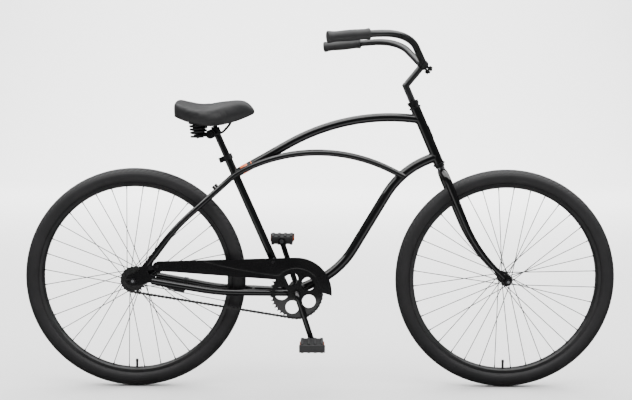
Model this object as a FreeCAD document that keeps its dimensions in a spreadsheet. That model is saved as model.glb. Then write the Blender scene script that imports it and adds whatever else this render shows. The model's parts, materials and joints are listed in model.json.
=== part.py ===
import FreeCAD, Part
import math
import os
from types import SimpleNamespace

import Sketcher
from FreeCAD import Placement, Rotation, Vector

# A beach cruiser bicycle with 29 inch wheels, a cantilever frame and a coaster brake hub.
# Millimetres and degrees. +X is forward, +Y is the rider's left, +Z is up.
# The origin is on the ground, midway between the two axles.

os.makedirs("parts", exist_ok=True)
doc = FreeCAD.newDocument("beach_cruiser_bicycle")
sheet = doc.addObject("Spreadsheet::Sheet", "dims")

sizes = {
    # wheels
    "wheelbase": 1233,
    "rim_flange_radius": 319.5,
    "rim_half_width": 16,
    "rim_depth": 13.6,
    "rim_wall": 2.2,
    "rim_well_half_width": 9,
    "tyre_section_radius": 26,
    "tyre_centre_rise": 21,
    "tyre_wall": 3,
    "inner_tube_wall": 1.4,
    "inner_tube_slack": 0.3,
    "valve_radius": 4,
    "valve_reach": 22,
    "spoke_count": 36,
    "spoke_crossings": 3,
    "spoke_radius": 1.3,
    "spoke_stand_off": 0.7,
    "spoke_head_radius": 1.9,
    "spoke_head_thickness": 1.2,
    "spoke_rim_stagger": 3,
    "nipple_radius": 1.9,
    "nipple_length": 13,
    "nipple_head_radius": 2.8,
    "nipple_head_thickness": 1.8,
    "nipple_head_lift": 0.8,
    "hub_flange_thickness": 3.2,
    "front_flange_half_spacing": 33,
    "front_flange_radius": 20,
    "front_spoke_circle_radius": 16.5,
    "front_hub_body_radius": 12,
    "front_hub_half_length": 43,
    "rear_flange_half_spacing": 27,
    "rear_flange_radius": 31,
    "rear_spoke_circle_radius": 27.5,
    "rear_hub_body_radius": 24,
    "rear_hub_half_length": 37,
    "rear_hub_end_radius": 21,
    "axle_radius": 4.75,
    "front_cone_radius": 8,
    "rear_cone_radius": 9,
    "front_opening_half": 50,
    "rear_opening_half": 55,
    "axle_overhang": 4,
    "axle_nut_flats": 15,
    "axle_nut_height": 10,
    "axle_washer_radius": 10,
    "axle_washer_thickness": 1.8,
    # clearances
    "bearing_gap": 0.3,
    "fit_gap": 0.05,
    "hole_gap": 0.25,
    "cut_overrun": 2,
    # drive
    "chain_pitch": 12.7,
    "chain_line": 47,
    "chainring_teeth": 42,
    "sprocket_teeth": 20,
    "tooth_thickness": 2.9,
    "tooth_tip_rise": 3.0,
    "tooth_tip_half_width": 0.8,
    "roller_radius": 3.9,
    "roller_half_width": 1.75,
    "link_plate_radius": 4.2,
    "link_plate_waist": 2.5,
    "link_plate_thickness": 1.2,
    "link_plate_gap": 0.15,
    "chain_pin_radius": 1.8,
    "chain_pin_overhang": 0.5,
    "chainring_hole_radius": 22.3,
    "chainring_hole_circle": 49.6,
    "chainring_hole_count": 5,
    "sprocket_boss_radius": 18,
    "sprocket_boss_half_width": 4,
    "chain_stay_length": 538,
    "bottom_bracket_drop": 42,
    "crank_length": 165,
    "crank_bar_radius": 9.2,
    "crank_axle_radius": 11.9,
    "crank_half_width": 67.5,
    "crank_bend_radius": 20,
    "crank_angle": 18.3,
    "pedal_boss_radius": 12.5,
    "pedal_boss_half_thickness": 9.5,
    "pedal_thread_radius": 7,
    "pedal_spindle_radius": 5,
    "pedal_gap": 3,
    "pedal_length": 80,
    "pedal_width": 100,
    "pedal_height": 28,
    "pedal_corner": 11,
    "reflector_width": 56,
    "reflector_height": 13,
    "reflector_depth": 4,
    # bottom bracket
    "bracket_shell_radius": 29,
    "bracket_shell_wall": 3.4,
    "bracket_shell_half_width": 34,
    "bracket_cup_depth": 9,
    "bracket_cup_lip": 2,
    "bracket_cone_radius": 17,
    "bracket_cone_width": 7,
    # frame
    "head_angle": 66.1,
    "seat_angle": 66.1,
    "seat_tube_setback": 30,
    "tube_wall": 1.5,
    "head_tube_radius": 16.5,
    "head_tube_length": 198,
    "head_cup_radius": 19.8,
    "head_cup_height": 5,
    "head_cup_depth": 10,
    "top_tube_radius": 14.3,
    "top_tube_head_drop": 45,
    "top_tube_seat_station": 439,
    "top_tube_rear_angle": 29.6,
    "top_tube_front_angle": 7.1,
    "down_tube_radius": 16,
    "down_tube_head_station": 29.7,
    "down_tube_head_angle": 22.5,
    "down_tube_head_run": 125.5,
    "down_tube_middle_angle": 59.3,
    "down_tube_foot_angle": 24.9,
    "seat_tube_radius": 13,
    "seat_tube_foot_station": 12,
    "seat_tube_top_station": 509,
    "cantilever_radius": 9.5,
    "cantilever_rear_angle": 26.5,
    "cantilever_front_angle": 26.4,
    "cantilever_end_drop": 7,
    "cantilever_weld_depth": 4,
    "seat_stay_start_reach": 70,
    "seat_stay_start_angle": 49,
    "seat_stay_start_half_width": 65,
    "seat_stay_lower_run": 150,
    "seat_stay_lower_angle": 53,
    "seat_stay_upper_run": 77,
    "seat_stay_upper_angle": 42.5,
    "seat_stay_upper_half_width": 42,
    "chain_stay_radius": 11,
    "chain_stay_start_reach": 60,
    "chain_stay_start_rise": -2.5,
    "chain_stay_start_half_width": 58,
    "chain_stay_rear_angle": 10,
    "chain_stay_front_angle": -1.5,
    "chain_stay_foot_rise": -5,
    "chain_stay_foot_half_width": 22,
    "chain_stay_tyre_room": 5,
    "bridge_radius": 7,
    "bridge_tyre_room": 17,
    "boss_radius": 5,
    "boss_length": 10.5,
    "boss_bore_depth": 8,
    "boss_bore_radius": 2.1,
    "dropout_thickness": 5,
    "dropout_reach": 66,
    "seat_clamp_height": 18,
    "seat_clamp_wall": 4,
    "seat_clamp_slot": 3,
    "seat_clamp_ear_reach": 12,
    "seat_clamp_ear_half_width": 7,
    "seat_clamp_bolt_radius": 2.5,
    "badge_width": 17,
    "badge_height": 44,
    "badge_thickness": 1.6,
    # chain guard
    "guard_thickness": 1.2,
    "guard_side_gap": 2.6,
    "guard_outer_radius": 117,
    "guard_inner_radius": 67,
    "guard_tip_outer_angle": -4,
    "guard_tip_inner_angle": 7,
    "guard_inner_end_angle": 139,
    "guard_lip_depth": 13,
    "guard_tab_reach": 78,
    "guard_tab_rise": 46,
    "guard_tab_radius": 15,
    "guard_screw_radius": 2.5,
    "guard_screw_head_radius": 4.5,
    "guard_screw_head_height": 1.8,
    "guard_bracket_thickness": 2.5,
    "guard_bracket_width": 14,
    "guard_bracket_station": 126,
    # coaster brake arm
    "brake_arm_thickness": 4,
    "brake_arm_length": 158,
    "brake_arm_hub_radius": 16,
    "brake_arm_tip_radius": 8,
    "brake_arm_angle": 19.5,
    "brake_clip_thickness": 1.6,
    "brake_clip_width": 14,
    "brake_bolt_radius": 3,
    # fork, headset and stem
    "fork_length": 440,
    "fork_rake": 51,
    "fork_crown_station": 27,
    "fork_blade_radius": 13.5,
    "fork_tip_radius": 8.5,
    "fork_blade_half_width": 54,
    "fork_blade_set": 4,
    "fork_tip_angle": 21.5,
    "fork_shoulder_radius": 34,
    "fork_end_thickness": 5,
    "fork_end_reach": 30,
    "fork_end_radius": 13,
    "steerer_radius": 12.7,
    "crown_race_height": 8,
    "crown_race_radius": 15.5,
    "top_cone_height": 8,
    "top_cone_radius": 16,
    "locknut_height": 12,
    "locknut_flats": 32,
    "quill_radius": 11.1,
    "quill_insertion": 70,
    "quill_bore_radius": 4.6,
    "stem_corner_station": 284,
    "stem_extension": 87.5,
    "stem_extension_angle": 50.7,
    "stem_clamp_radius": 16.5,
    "stem_clamp_half_width": 20,
    "stem_slot": 3,
    "stem_ear_reach": 34,
    "stem_ear_half_thickness": 8,
    "stem_bolt_radius": 3.5,
    "stem_bolt_head_radius": 6.5,
    "stem_bolt_head_height": 6,
    "stem_wedge_length": 32,
    # handlebar
    "bar_radius": 11.1,
    "bar_wall": 2,
    "bar_centre_half_width": 35,
    "bar_shoulder_back": 66,
    "bar_shoulder_half_width": 222,
    "bar_rise": 92,
    "bar_grip_front_back": 180,
    "bar_grip_front_half_width": 289,
    "bar_grip_drop": 7.2,
    "bar_end_back": 316,
    "bar_end_half_width": 322,
    "bar_end_drop": 20,
    "grip_length": 130,
    "grip_radius": 15.5,
    "grip_flange_radius": 18.5,
    "grip_flange_width": 5,
    "grip_end_thickness": 4,
    # seat post and saddle
    "seat_post_radius": 11.1,
    "seat_post_wall": 2,
    "seat_post_top_station": 612,
    "seat_post_insertion": 110,
    "saddle_bolt_station": 592,
    "saddle_bolt_back": 18.5,
    "saddle_bolt_radius": 4,
    "saddle_clamp_height": 24,
    "saddle_clamp_wall": 4.5,
    "saddle_clamp_half_width": 15,
    "saddle_clamp_eye_radius": 11,
    "saddle_cup_radius": 15,
    "saddle_cup_thickness": 4,
    "saddle_cup_bite": 0.4,
    "saddle_length": 262,
    "saddle_width": 214,
    "saddle_height": 82,
    "saddle_rear_overhang": 115,
    "saddle_skirt_rise": 29.6,
    "saddle_pocket_depth": 20,
    "saddle_base_thickness": 4,
    "saddle_rail_radius": 3.5,
    "saddle_nose_half_width": 10,
    "saddle_rail_drop": 30,
    "saddle_rail_run": 34,
    "spring_wire_radius": 3,
    "spring_foot_radius": 18.5,
    "spring_head_radius": 24.5,
    "spring_turns": 4,
    "spring_back": 41,
    "spring_half_spacing": 47,
    "spring_seat_thickness": 3,
    "spring_foot_drop": 4,
}
for row, (name, value) in enumerate(sizes.items(), start=1):
    sheet.set(f"A{row}", name)
    sheet.set(f"B{row}", str(value))
    sheet.setAlias(f"B{row}", name)
doc.recompute()
d = SimpleNamespace(**{name: sheet.get(name) for name in sizes})

sub_parts = []
up = Vector(0, 0, 1)
forward = Vector(1, 0, 0)
left = Vector(0, 1, 0)
full_turn = 360
right_angle = 90
bent_run_share = 0.99
bolt_head_ratio = 1.7
rim_shoulder_share = 0.68
badge_rise_share = 0.54
strap_place_share = 0.62
brake_arm_root_share = 0.8
fork_end_neck_share = 0.55
fork_end_corner_share = 0.75
fork_knee_share = 0.7
stem_ear_share = 0.55
grip_swell_share = 0.2
grip_swell_place_share = 0.55
grip_flare_ratio = 1.5
cup_bridge_share = 0.8
sides = (("right", -1), ("left", 1))


# directions, places and paths

def heading(angle, across=0):
    # unit vector in the bicycle's own plane, angle counted from forward towards up
    turn = math.radians(angle)
    return Vector(math.cos(turn), across, math.sin(turn))


def flat(point):
    return Vector(point.x, 0, point.z)


def aside(point, across):
    return Vector(point.x, across, point.z)


def corner(first, first_angle, second, second_angle):
    # where two lines of the bicycle's plane cross
    one = heading(first_angle)
    two = heading(second_angle)
    gap = second - first
    along = (gap.x * two.z - gap.z * two.x) / (one.x * two.z - one.z * two.x)
    return first + one * along


def facing(base, direction):
    return Placement(base, Rotation(up, direction))


def bend(before, point, after, setback):
    # arc that rounds one corner of a path, starting one setback before it
    start = point + (before - point).normalize() * setback
    end = point + (after - point).normalize() * setback
    chord_middle = (start + end) * 0.5
    half_turn = math.atan((point - chord_middle).Length / (start - chord_middle).Length)
    middle = chord_middle + (point - chord_middle) * (math.tan(half_turn / 2) / math.tan(half_turn))
    return start, middle, end


def rounded_path(points, setbacks):
    # straight runs joined by tangent arcs
    edges = []
    place = points[0]
    for before, point, after, setback in zip(points, points[1:], points[2:], setbacks):
        start, middle, end = bend(before, point, after, setback)
        edges.append(Part.LineSegment(place, start).toShape())
        edges.append(Part.Arc(start, middle, end).toShape())
        place = end
    edges.append(Part.LineSegment(place, points[-1]).toShape())
    return edges


def shorter_run(points, index):
    return min((points[index] - points[index - 1]).Length, (points[index + 1] - points[index]).Length)


def share_setbacks(points, shares):
    # setback of each inner corner as a share of the shorter run beside it; two bends on one run divide it
    asked = [share * shorter_run(points, index) for index, share in enumerate(shares, start=1)]
    setbacks = list(asked)
    for index, (one, two) in enumerate(zip(asked, asked[1:])):
        run = (points[index + 2] - points[index + 1]).Length
        room_share = min(1, bent_run_share * run / (one + two))
        setbacks[index] = min(setbacks[index], one * room_share)
        setbacks[index + 1] = min(setbacks[index + 1], two * room_share)
    return setbacks


# document objects

def bound(kind, name, **expressions):
    thing = doc.addObject(kind, name)
    for prop, expression in expressions.items():
        thing.setExpression(prop, str(expression))
    return thing


def keep(thing, label):
    thing.Label = label
    sub_parts.append(thing)
    return thing


def solid(name, shape):
    thing = doc.addObject("Part::Feature", name)
    thing.Shape = shape
    return thing


def cylinder(name, radius, height, base, direction):
    rod = bound("Part::Cylinder", name, Radius=radius, Height=height)
    rod.Placement = facing(base, direction)
    return rod


def box(name, length, width, height, place):
    block = bound("Part::Box", name, Length=length, Width=width, Height=height)
    block.Placement = place
    return block


def cut(name, base, *tools):
    for index, tool in enumerate(tools):
        result = doc.addObject("Part::Cut", f"{name}_cut_{index}")
        result.Base = base
        result.Tool = tool
        base = result
    return base


def fuse(name, *pieces):
    result = doc.addObject("Part::MultiFuse", name)
    result.Shapes = list(pieces)
    result.Refine = True
    return result


def group(name, *pieces):
    result = doc.addObject("Part::Compound", name)
    result.Links = list(pieces)
    return result


def swept(name, edges, radius, end_radius=None):
    # round bar along a path, tapered when it has an end radius
    path = solid(f"{name}_path", Part.Wire(edges))
    sections = []
    ends = ((edges[0], edges[0].FirstParameter, radius), (edges[-1], edges[-1].LastParameter, end_radius))
    for edge, parameter, section_radius in ends:
        if section_radius is None:
            continue
        ring = bound("Part::Circle", f"{name}_ring", Radius=section_radius)
        ring.Placement = facing(edge.valueAt(parameter), edge.tangentAt(parameter))
        sections.append(ring)
    bar = doc.addObject("Part::Sweep", name)
    bar.Sections = sections
    bar.Spine = (path, [f"Edge{index}" for index in range(1, len(edges) + 1)])
    bar.Solid = True
    bar.Frenet = False
    return bar


def tube(name, edges, radius, wall):
    outside = swept(f"{name}_outside", edges, radius)
    inside = swept(f"{name}_inside", edges, f"{radius} - {wall}")
    return outside, inside


def closed_sketch(body, plane_role, name, outline):
    # closed outline of straight lines, each corner held by two expressions
    sketch = body.newObject("Sketcher::SketchObject", name)
    plane = [item for item in body.Origin.OriginFeatures if item.Role == plane_role][0]
    sketch.AttachmentSupport = (plane, [""])
    sketch.MapMode = "FlatFace"
    places = []
    for across, along in outline:
        places.append(Vector(sheet.evalExpression(str(across)), sheet.evalExpression(str(along)), 0))
    count = len(outline)
    for index in range(count):
        sketch.addGeometry(Part.LineSegment(places[index], places[(index + 1) % count]), False)
    for index in range(count):
        sketch.addConstraint(Sketcher.Constraint("Coincident", index, 2, (index + 1) % count, 1))
    for index, (across, along) in enumerate(outline):
        place = places[index]
        for kind, value, expression in (("DistanceX", place.x, across), ("DistanceY", place.y, along)):
            number = sketch.addConstraint(Sketcher.Constraint(kind, -1, 1, index, 1, value))
            sketch.setExpression(f"Constraints[{number}]", str(expression))
    return sketch


def turned(name, outline, place):
    # outline of radius and height, turned about the body's own Z axis
    body = doc.addObject("PartDesign::Body", name)
    sketch = closed_sketch(body, "XZ_Plane", f"{name}_outline", outline)
    turning = body.newObject("PartDesign::Revolution", f"{name}_turning")
    turning.Profile = sketch
    turning.ReferenceAxis = (sketch, ["V_Axis"])
    turning.Angle = full_turn
    body.Placement = place
    return body


def padded(name, outline, thickness, place):
    # flat outline padded both ways from the body's own XY plane
    body = doc.addObject("PartDesign::Body", name)
    sketch = closed_sketch(body, "XY_Plane", f"{name}_outline", outline)
    pad = body.newObject("PartDesign::Pad", f"{name}_pad")
    pad.Profile = sketch
    pad.setExpression("Length", str(thickness))
    pad.Midplane = True
    body.Placement = place
    return body


def share_outline(shares, size):
    return [(f"{size} * {across}", f"{size} * {along}") for across, along in shares]


def rectangle(half_length, half_width):
    return [
        (f"-({half_length})", f"-({half_width})"),
        (f"{half_length}", f"-({half_width})"),
        (f"{half_length}", f"{half_width}"),
        (f"-({half_length})", f"{half_width}"),
    ]


def ring_outline(bore, radius, low, high):
    return [(bore, low), (radius, low), (radius, high), (bore, high)]


# main points of the frame

wheel_radius = d.rim_flange_radius + d.tyre_centre_rise + d.tyre_section_radius
rear_axle_place = Vector(-d.wheelbase / 2, 0, wheel_radius)
front_axle_place = Vector(d.wheelbase / 2, 0, wheel_radius)
bracket_back = math.sqrt(d.chain_stay_length**2 - d.bottom_bracket_drop**2)
bracket_place = rear_axle_place + Vector(bracket_back, 0, -d.bottom_bracket_drop)
steer_up = heading(180 - d.head_angle)
steer_ahead = heading(right_angle - d.head_angle)
head_foot = front_axle_place + steer_up * d.fork_length - steer_ahead * d.fork_rake
post_up = heading(180 - d.seat_angle)
post_ahead = heading(right_angle - d.seat_angle)
seat_foot = bracket_place - post_ahead * d.seat_tube_setback
# turns a plate's own XY plane into the bicycle's XZ plane, its Z axis to the right
upright = Rotation(forward, up, -left, "XYZ")


def on_steer(station):
    return head_foot + steer_up * station


def on_post(station):
    return seat_foot + post_up * station


# wheels

def spoke_set(flange_half, circle_radius):
    # spokes, nipples and the holes they need, about the wheel's own Z axis
    spokes = []
    holes = []
    flange_holes = []
    per_flange = int(d.spoke_count / 2)
    hole_step = full_turn / per_flange
    first_angle = hole_step / 4
    bed_radius = d.rim_flange_radius - d.rim_depth + d.rim_wall
    end_radius = bed_radius + d.nipple_head_lift + d.nipple_head_thickness
    stand = d.hub_flange_thickness / 2 + d.spoke_radius + d.spoke_stand_off
    for side in (-1, 1):
        side_angle = first_angle + (hole_step / 2 if side > 0 else 0)
        for kind in (0, 1):
            out = 1 if kind == 0 else -1
            hub_angle = math.radians(side_angle + kind * hole_step)
            rim_angle = hub_angle + out * math.radians(hole_step * d.spoke_crossings)
            level = side * (flange_half + out * stand)
            hub_end = Vector(circle_radius * math.cos(hub_angle), circle_radius * math.sin(hub_angle), level)
            rim_end = Vector(
                end_radius * math.cos(rim_angle), end_radius * math.sin(rim_angle), side * d.spoke_rim_stagger
            )
            line = (rim_end - hub_end).normalize()
            inward = Vector(0, 0, -side * out)
            elbow_length = stand + d.hub_flange_thickness / 2 + d.spoke_head_thickness
            head_place = hub_end + inward * (elbow_length - d.spoke_head_thickness + d.fit_gap)
            wire = Part.makeCylinder(d.spoke_radius, (rim_end - hub_end).Length, hub_end, line)
            elbow = Part.makeCylinder(d.spoke_radius, elbow_length, hub_end, inward)
            knee = Part.makeSphere(d.spoke_radius, hub_end)
            head = Part.makeCylinder(d.spoke_head_radius, d.spoke_head_thickness, head_place, inward)
            spoke = wire.fuse([knee, elbow, head]).removeSplitter()
            sleeve = Part.makeCylinder(
                d.nipple_radius, d.nipple_length, rim_end - line * d.nipple_length, line
            )
            cap = Part.makeCylinder(
                d.nipple_head_radius, d.nipple_head_thickness, rim_end - line * d.nipple_head_thickness, line
            )
            bore = Part.makeCylinder(
                d.spoke_radius + d.fit_gap, d.nipple_length + 2 * d.cut_overrun,
                rim_end - line * (d.nipple_length + d.cut_overrun), line
            )
            nipple = sleeve.fuse(cap).cut(bore)
            hole = Part.makeCylinder(
                d.nipple_radius + d.hole_gap, d.nipple_length + d.rim_depth,
                rim_end - line * d.nipple_length, line
            )
            flange_hole = Part.makeCylinder(
                d.spoke_radius + d.hole_gap, d.hub_flange_thickness + 2 * d.cut_overrun,
                hub_end + inward * (stand - d.hub_flange_thickness / 2 - d.cut_overrun), inward
            )
            for copy in range(int(per_flange / 2)):
                angle = copy * 2 * hole_step
                lots = ((spokes, (spoke, nipple)), (holes, (hole,)), (flange_holes, (flange_hole,)))
                for made, shapes in lots:
                    for shape in shapes:
                        turned_copy = shape.copy()
                        turned_copy.rotate(Vector(0, 0, 0), up, angle)
                        made.append(turned_copy)
    return Part.Compound(spokes), Part.Compound(holes), Part.Compound(flange_holes)


def wheel(end, axle_place, flange_half, circle_radius, hub_outline):
    place = facing(axle_place, left)
    centre_radius = "(dims.rim_flange_radius + dims.tyre_centre_rise)"
    spokes, rim_holes, flange_holes = spoke_set(flange_half, circle_radius)

    casing = bound("Part::Torus", f"{end}_casing", Radius1=centre_radius, Radius2="dims.tyre_section_radius")
    cavity_radius = "dims.tyre_section_radius - dims.tyre_wall"
    cavity = bound("Part::Torus", f"{end}_cavity", Radius1=centre_radius, Radius2=cavity_radius)
    mouth = bound(
        "Part::Cylinder", f"{end}_mouth",
        Radius="dims.rim_flange_radius + dims.fit_gap", Height="dims.tyre_section_radius * 2"
    )
    mouth.Placement.Base = Vector(0, 0, -d.tyre_section_radius)
    tyre = cut(f"{end}_tyre", casing, cavity, mouth)
    tyre.Placement = place
    keep(tyre, f"{end}_tyre")

    air_radius = f"{cavity_radius} - dims.inner_tube_slack"
    skin = bound("Part::Torus", f"{end}_tube_skin", Radius1=centre_radius, Radius2=air_radius)
    air = bound(
        "Part::Torus", f"{end}_tube_air", Radius1=centre_radius,
        Radius2=f"{air_radius} - dims.inner_tube_wall"
    )
    valve_root = centre_valve_root()
    valve = cylinder(
        f"{end}_valve", "dims.valve_radius",
        "dims.valve_reach + dims.rim_depth + dims.tyre_centre_rise"
        " - (dims.tyre_section_radius - dims.tyre_wall)"
        " + dims.inner_tube_slack + dims.inner_tube_wall",
        Vector(0, valve_root, 0), -left
    )
    inner_tube = cut(f"{end}_inner_tube", fuse(f"{end}_tube_with_valve", skin, valve), air)
    inner_tube.Placement = place
    keep(inner_tube, f"{end}_inner_tube")

    flange = "dims.rim_flange_radius"
    bed = "dims.rim_flange_radius - dims.rim_depth"
    shoulder = f"dims.rim_flange_radius - dims.rim_depth * {rim_shoulder_share}"
    half = "dims.rim_half_width"
    well = "dims.rim_well_half_width"
    wall = "dims.rim_wall"
    section = [
        (flange, half), (shoulder, half), (bed, well), (bed, f"-{well}"), (shoulder, f"-{half}"),
        (flange, f"-{half}"),
        (flange, f"-{half} + {wall}"), (f"{shoulder} + {wall} / 2", f"-{half} + {wall}"),
        (f"{bed} + {wall}", f"-{well} + {wall} / 2"), (f"{bed} + {wall}", f"{well} - {wall} / 2"),
        (f"{shoulder} + {wall} / 2", f"{half} - {wall}"), (flange, f"{half} - {wall}"),
    ]
    hoop = turned(f"{end}_hoop", section, Placement())
    drilling = solid(f"{end}_rim_drilling", rim_holes)
    valve_hole = cylinder(
        f"{end}_valve_hole", "dims.valve_radius + dims.hole_gap", "dims.rim_depth + dims.cut_overrun * 2",
        Vector(0, d.rim_flange_radius + d.cut_overrun, 0), -left
    )
    rim = cut(f"{end}_rim", hoop, drilling, valve_hole)
    rim.Placement = place
    keep(rim, f"{end}_rim")

    lacing = solid(f"{end}_lacing", spokes)
    lacing.Placement = place
    keep(lacing, f"{end}_spokes")

    shell = turned(f"{end}_hub_shell", hub_outline, Placement())
    hub = cut(f"{end}_hub", shell, solid(f"{end}_flange_drilling", flange_holes))
    hub.Placement = place
    keep(hub, f"{end}_hub")


def centre_valve_root():
    # the valve starts inside the skin of the inner tube, below its air
    return d.rim_flange_radius + d.tyre_centre_rise - (
        d.tyre_section_radius - d.tyre_wall - d.inner_tube_slack - d.inner_tube_wall
    )


def hub_outline(end, body_radius, end_radius):
    length = f"dims.{end}_hub_half_length"
    bore = f"dims.{end}_cone_radius + dims.bearing_gap"
    spacing = f"dims.{end}_flange_half_spacing"
    flange = f"dims.{end}_flange_radius"
    half = "dims.hub_flange_thickness / 2"
    right_half = [
        (bore, f"-{length}"), (end_radius, f"-{length}"), (end_radius, f"-{spacing} - {half}"),
        (flange, f"-{spacing} - {half}"), (flange, f"-{spacing} + {half}"),
        (body_radius, f"-{spacing} + {half}"),
    ]
    left_half = [
        (body_radius, f"{spacing} - {half}"), (flange, f"{spacing} - {half}"),
        (flange, f"{spacing} + {half}"),
        (end_radius, f"{spacing} + {half}"), (end_radius, length), (bore, length),
    ]
    return right_half + left_half


wheel(
    "front", front_axle_place, d.front_flange_half_spacing, d.front_spoke_circle_radius,
    hub_outline("front", "dims.front_hub_body_radius", "dims.front_hub_body_radius")
)
wheel(
    "rear", rear_axle_place, d.rear_flange_half_spacing, d.rear_spoke_circle_radius,
    hub_outline("rear", "dims.rear_hub_body_radius", "dims.rear_hub_end_radius")
)


def axle(end, axle_place, plate_thickness):
    # threaded axle with its two cones, and its nuts and washers
    opening = f"dims.{end}_opening_half"
    cone = f"dims.{end}_cone_radius"
    plate = f"dims.{plate_thickness}"
    stack = f"({opening} + {plate} + dims.axle_washer_thickness + dims.axle_nut_height)"
    length = f"({stack} + dims.axle_overhang)"
    radius = "dims.axle_radius"
    outline = [
        ("0", f"-{length}"), (radius, f"-{length}"), (radius, f"-{opening}"), (cone, f"-{opening}"),
        (cone, opening), (radius, opening), (radius, length), ("0", length),
    ]
    place = facing(axle_place, left)
    keep(turned(f"{end}_axle_bar", outline, place), f"{end}_axle")
    nuts = []
    plate_face = getattr(d, f"{end}_opening_half") + getattr(d, plate_thickness)
    for side_name, side in sides:
        seat = axle_place + left * (side * plate_face)
        outwards = left * side
        disc = cylinder(
            f"{end}_washer_{side_name}", "dims.axle_washer_radius", "dims.axle_washer_thickness", seat,
            outwards
        )
        hexagon = bound(
            "Part::Prism", f"{end}_hexagon_{side_name}",
            Circumradius="dims.axle_nut_flats / 2 / cos(30)", Height="dims.axle_nut_height"
        )
        hexagon.Placement = facing(seat + outwards * d.axle_washer_thickness, outwards)
        nut = fuse(f"{end}_flanged_nut_{side_name}", disc, hexagon)
        bore = cylinder(
            f"{end}_nut_bore_{side_name}", f"{radius} + dims.fit_gap",
            "dims.axle_washer_thickness + dims.axle_nut_height + dims.cut_overrun * 2",
            seat - outwards * d.cut_overrun, outwards
        )
        nuts.append(cut(f"{end}_nut_{side_name}", nut, bore))
    keep(group(f"{end}_nut_pair", *nuts), f"{end}_axle_nuts")


axle("front", front_axle_place, "fork_end_thickness")
axle("rear", rear_axle_place, "dropout_thickness")


# frame tubes: each one is swept along its bent path and mitred by the tubes it meets

head_outside = cylinder(
    "head_outside", "dims.head_tube_radius", "dims.head_tube_length", on_steer(d.head_cup_height), steer_up
)
head_inside = cylinder(
    "head_inside", "dims.head_tube_radius - dims.tube_wall", "dims.head_tube_length",
    on_steer(d.head_cup_height), steer_up
)
keep(cut("head", head_outside, head_inside), "head_tube")

shell_start = bracket_place - left * d.bracket_shell_half_width
shell_outside = cylinder(
    "shell_outside", "dims.bracket_shell_radius", "dims.bracket_shell_half_width * 2", shell_start, left
)
shell_inside = cylinder(
    "shell_inside", "dims.bracket_shell_radius - dims.bracket_shell_wall",
    "dims.bracket_shell_half_width * 2",
    shell_start, left
)
keep(cut("shell", shell_outside, shell_inside), "bottom_bracket_shell")
stay_trim_half = d.bracket_shell_half_width + d.bracket_cup_lip + d.cut_overrun
stay_trim = cylinder(
    "stay_trim", "dims.bracket_shell_radius",
    "(dims.bracket_shell_half_width + dims.bracket_cup_lip + dims.cut_overrun) * 2",
    bracket_place - left * stay_trim_half, left
)

seat_tube_run = "dims.seat_tube_top_station - dims.seat_tube_foot_station"
seat_outside = cylinder(
    "seat_outside", "dims.seat_tube_radius", seat_tube_run, on_post(d.seat_tube_foot_station), post_up
)
seat_inside = cylinder(
    "seat_inside", "dims.seat_post_radius + dims.fit_gap", seat_tube_run, on_post(d.seat_tube_foot_station),
    post_up
)
keep(cut("seat", seat_outside, seat_inside, shell_outside), "seat_tube")

top_foot = on_post(d.top_tube_seat_station)
head_top = 2 * d.head_cup_height + d.head_tube_length
top_head = on_steer(head_top - d.top_tube_head_drop)
top_points = [
    top_foot,
    corner(top_foot, d.top_tube_rear_angle, top_head, -d.top_tube_front_angle),
    top_head,
]
top_bend_shares = [0.95]
top_outside, top_inside = tube(
    "top", rounded_path(top_points, share_setbacks(top_points, top_bend_shares)),
    "dims.top_tube_radius", "dims.tube_wall"
)
keep(cut("top", top_outside, top_inside, head_outside, seat_outside), "top_tube")

down_head = on_steer(d.down_tube_head_station)
down_knee = down_head + heading(180 + d.down_tube_head_angle) * d.down_tube_head_run
down_heel = corner(down_knee, d.down_tube_middle_angle, bracket_place, d.down_tube_foot_angle)
down_points = [down_head, down_knee, down_heel, bracket_place]
down_bend_shares = [0.74, 0.54]
down_setbacks = share_setbacks(down_points, down_bend_shares)
down_outside, down_inside = tube(
    "down", rounded_path(down_points, down_setbacks), "dims.down_tube_radius", "dims.tube_wall"
)
keep(cut("down", down_outside, down_inside, head_outside, shell_outside), "down_tube")

# the twin cantilever tubes run from the dropouts as seat stays, past the seat tube, to the down tube
stay_foot = rear_axle_place + heading(d.seat_stay_start_angle) * d.seat_stay_start_reach
stay_knee = stay_foot + heading(d.seat_stay_lower_angle) * d.seat_stay_lower_run
stay_top = on_post(d.top_tube_seat_station)
stay_shoulder = stay_top - heading(d.seat_stay_upper_angle) * d.seat_stay_upper_run
down_bow = bend(down_head, down_knee, down_heel, down_setbacks[0])[1]
cantilever_end = down_bow - up * d.cantilever_end_drop
cantilever_peak = corner(stay_top, d.cantilever_rear_angle, cantilever_end, -d.cantilever_front_angle)
cantilever_side = d.seat_tube_radius + d.cantilever_radius
cantilever_end_side = d.down_tube_radius + d.cantilever_radius - d.cantilever_weld_depth
knee_share = (stay_knee - stay_foot).Length / (
    (stay_shoulder - stay_knee).Length + (stay_knee - stay_foot).Length
)
knee_side = d.seat_stay_start_half_width + knee_share * (
    d.seat_stay_upper_half_width - d.seat_stay_start_half_width
)
cantilever_bend_shares = [0.45, 0.48, 0.42, 0.93]
stay_outsides = {}
cantilevers = {}
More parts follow.
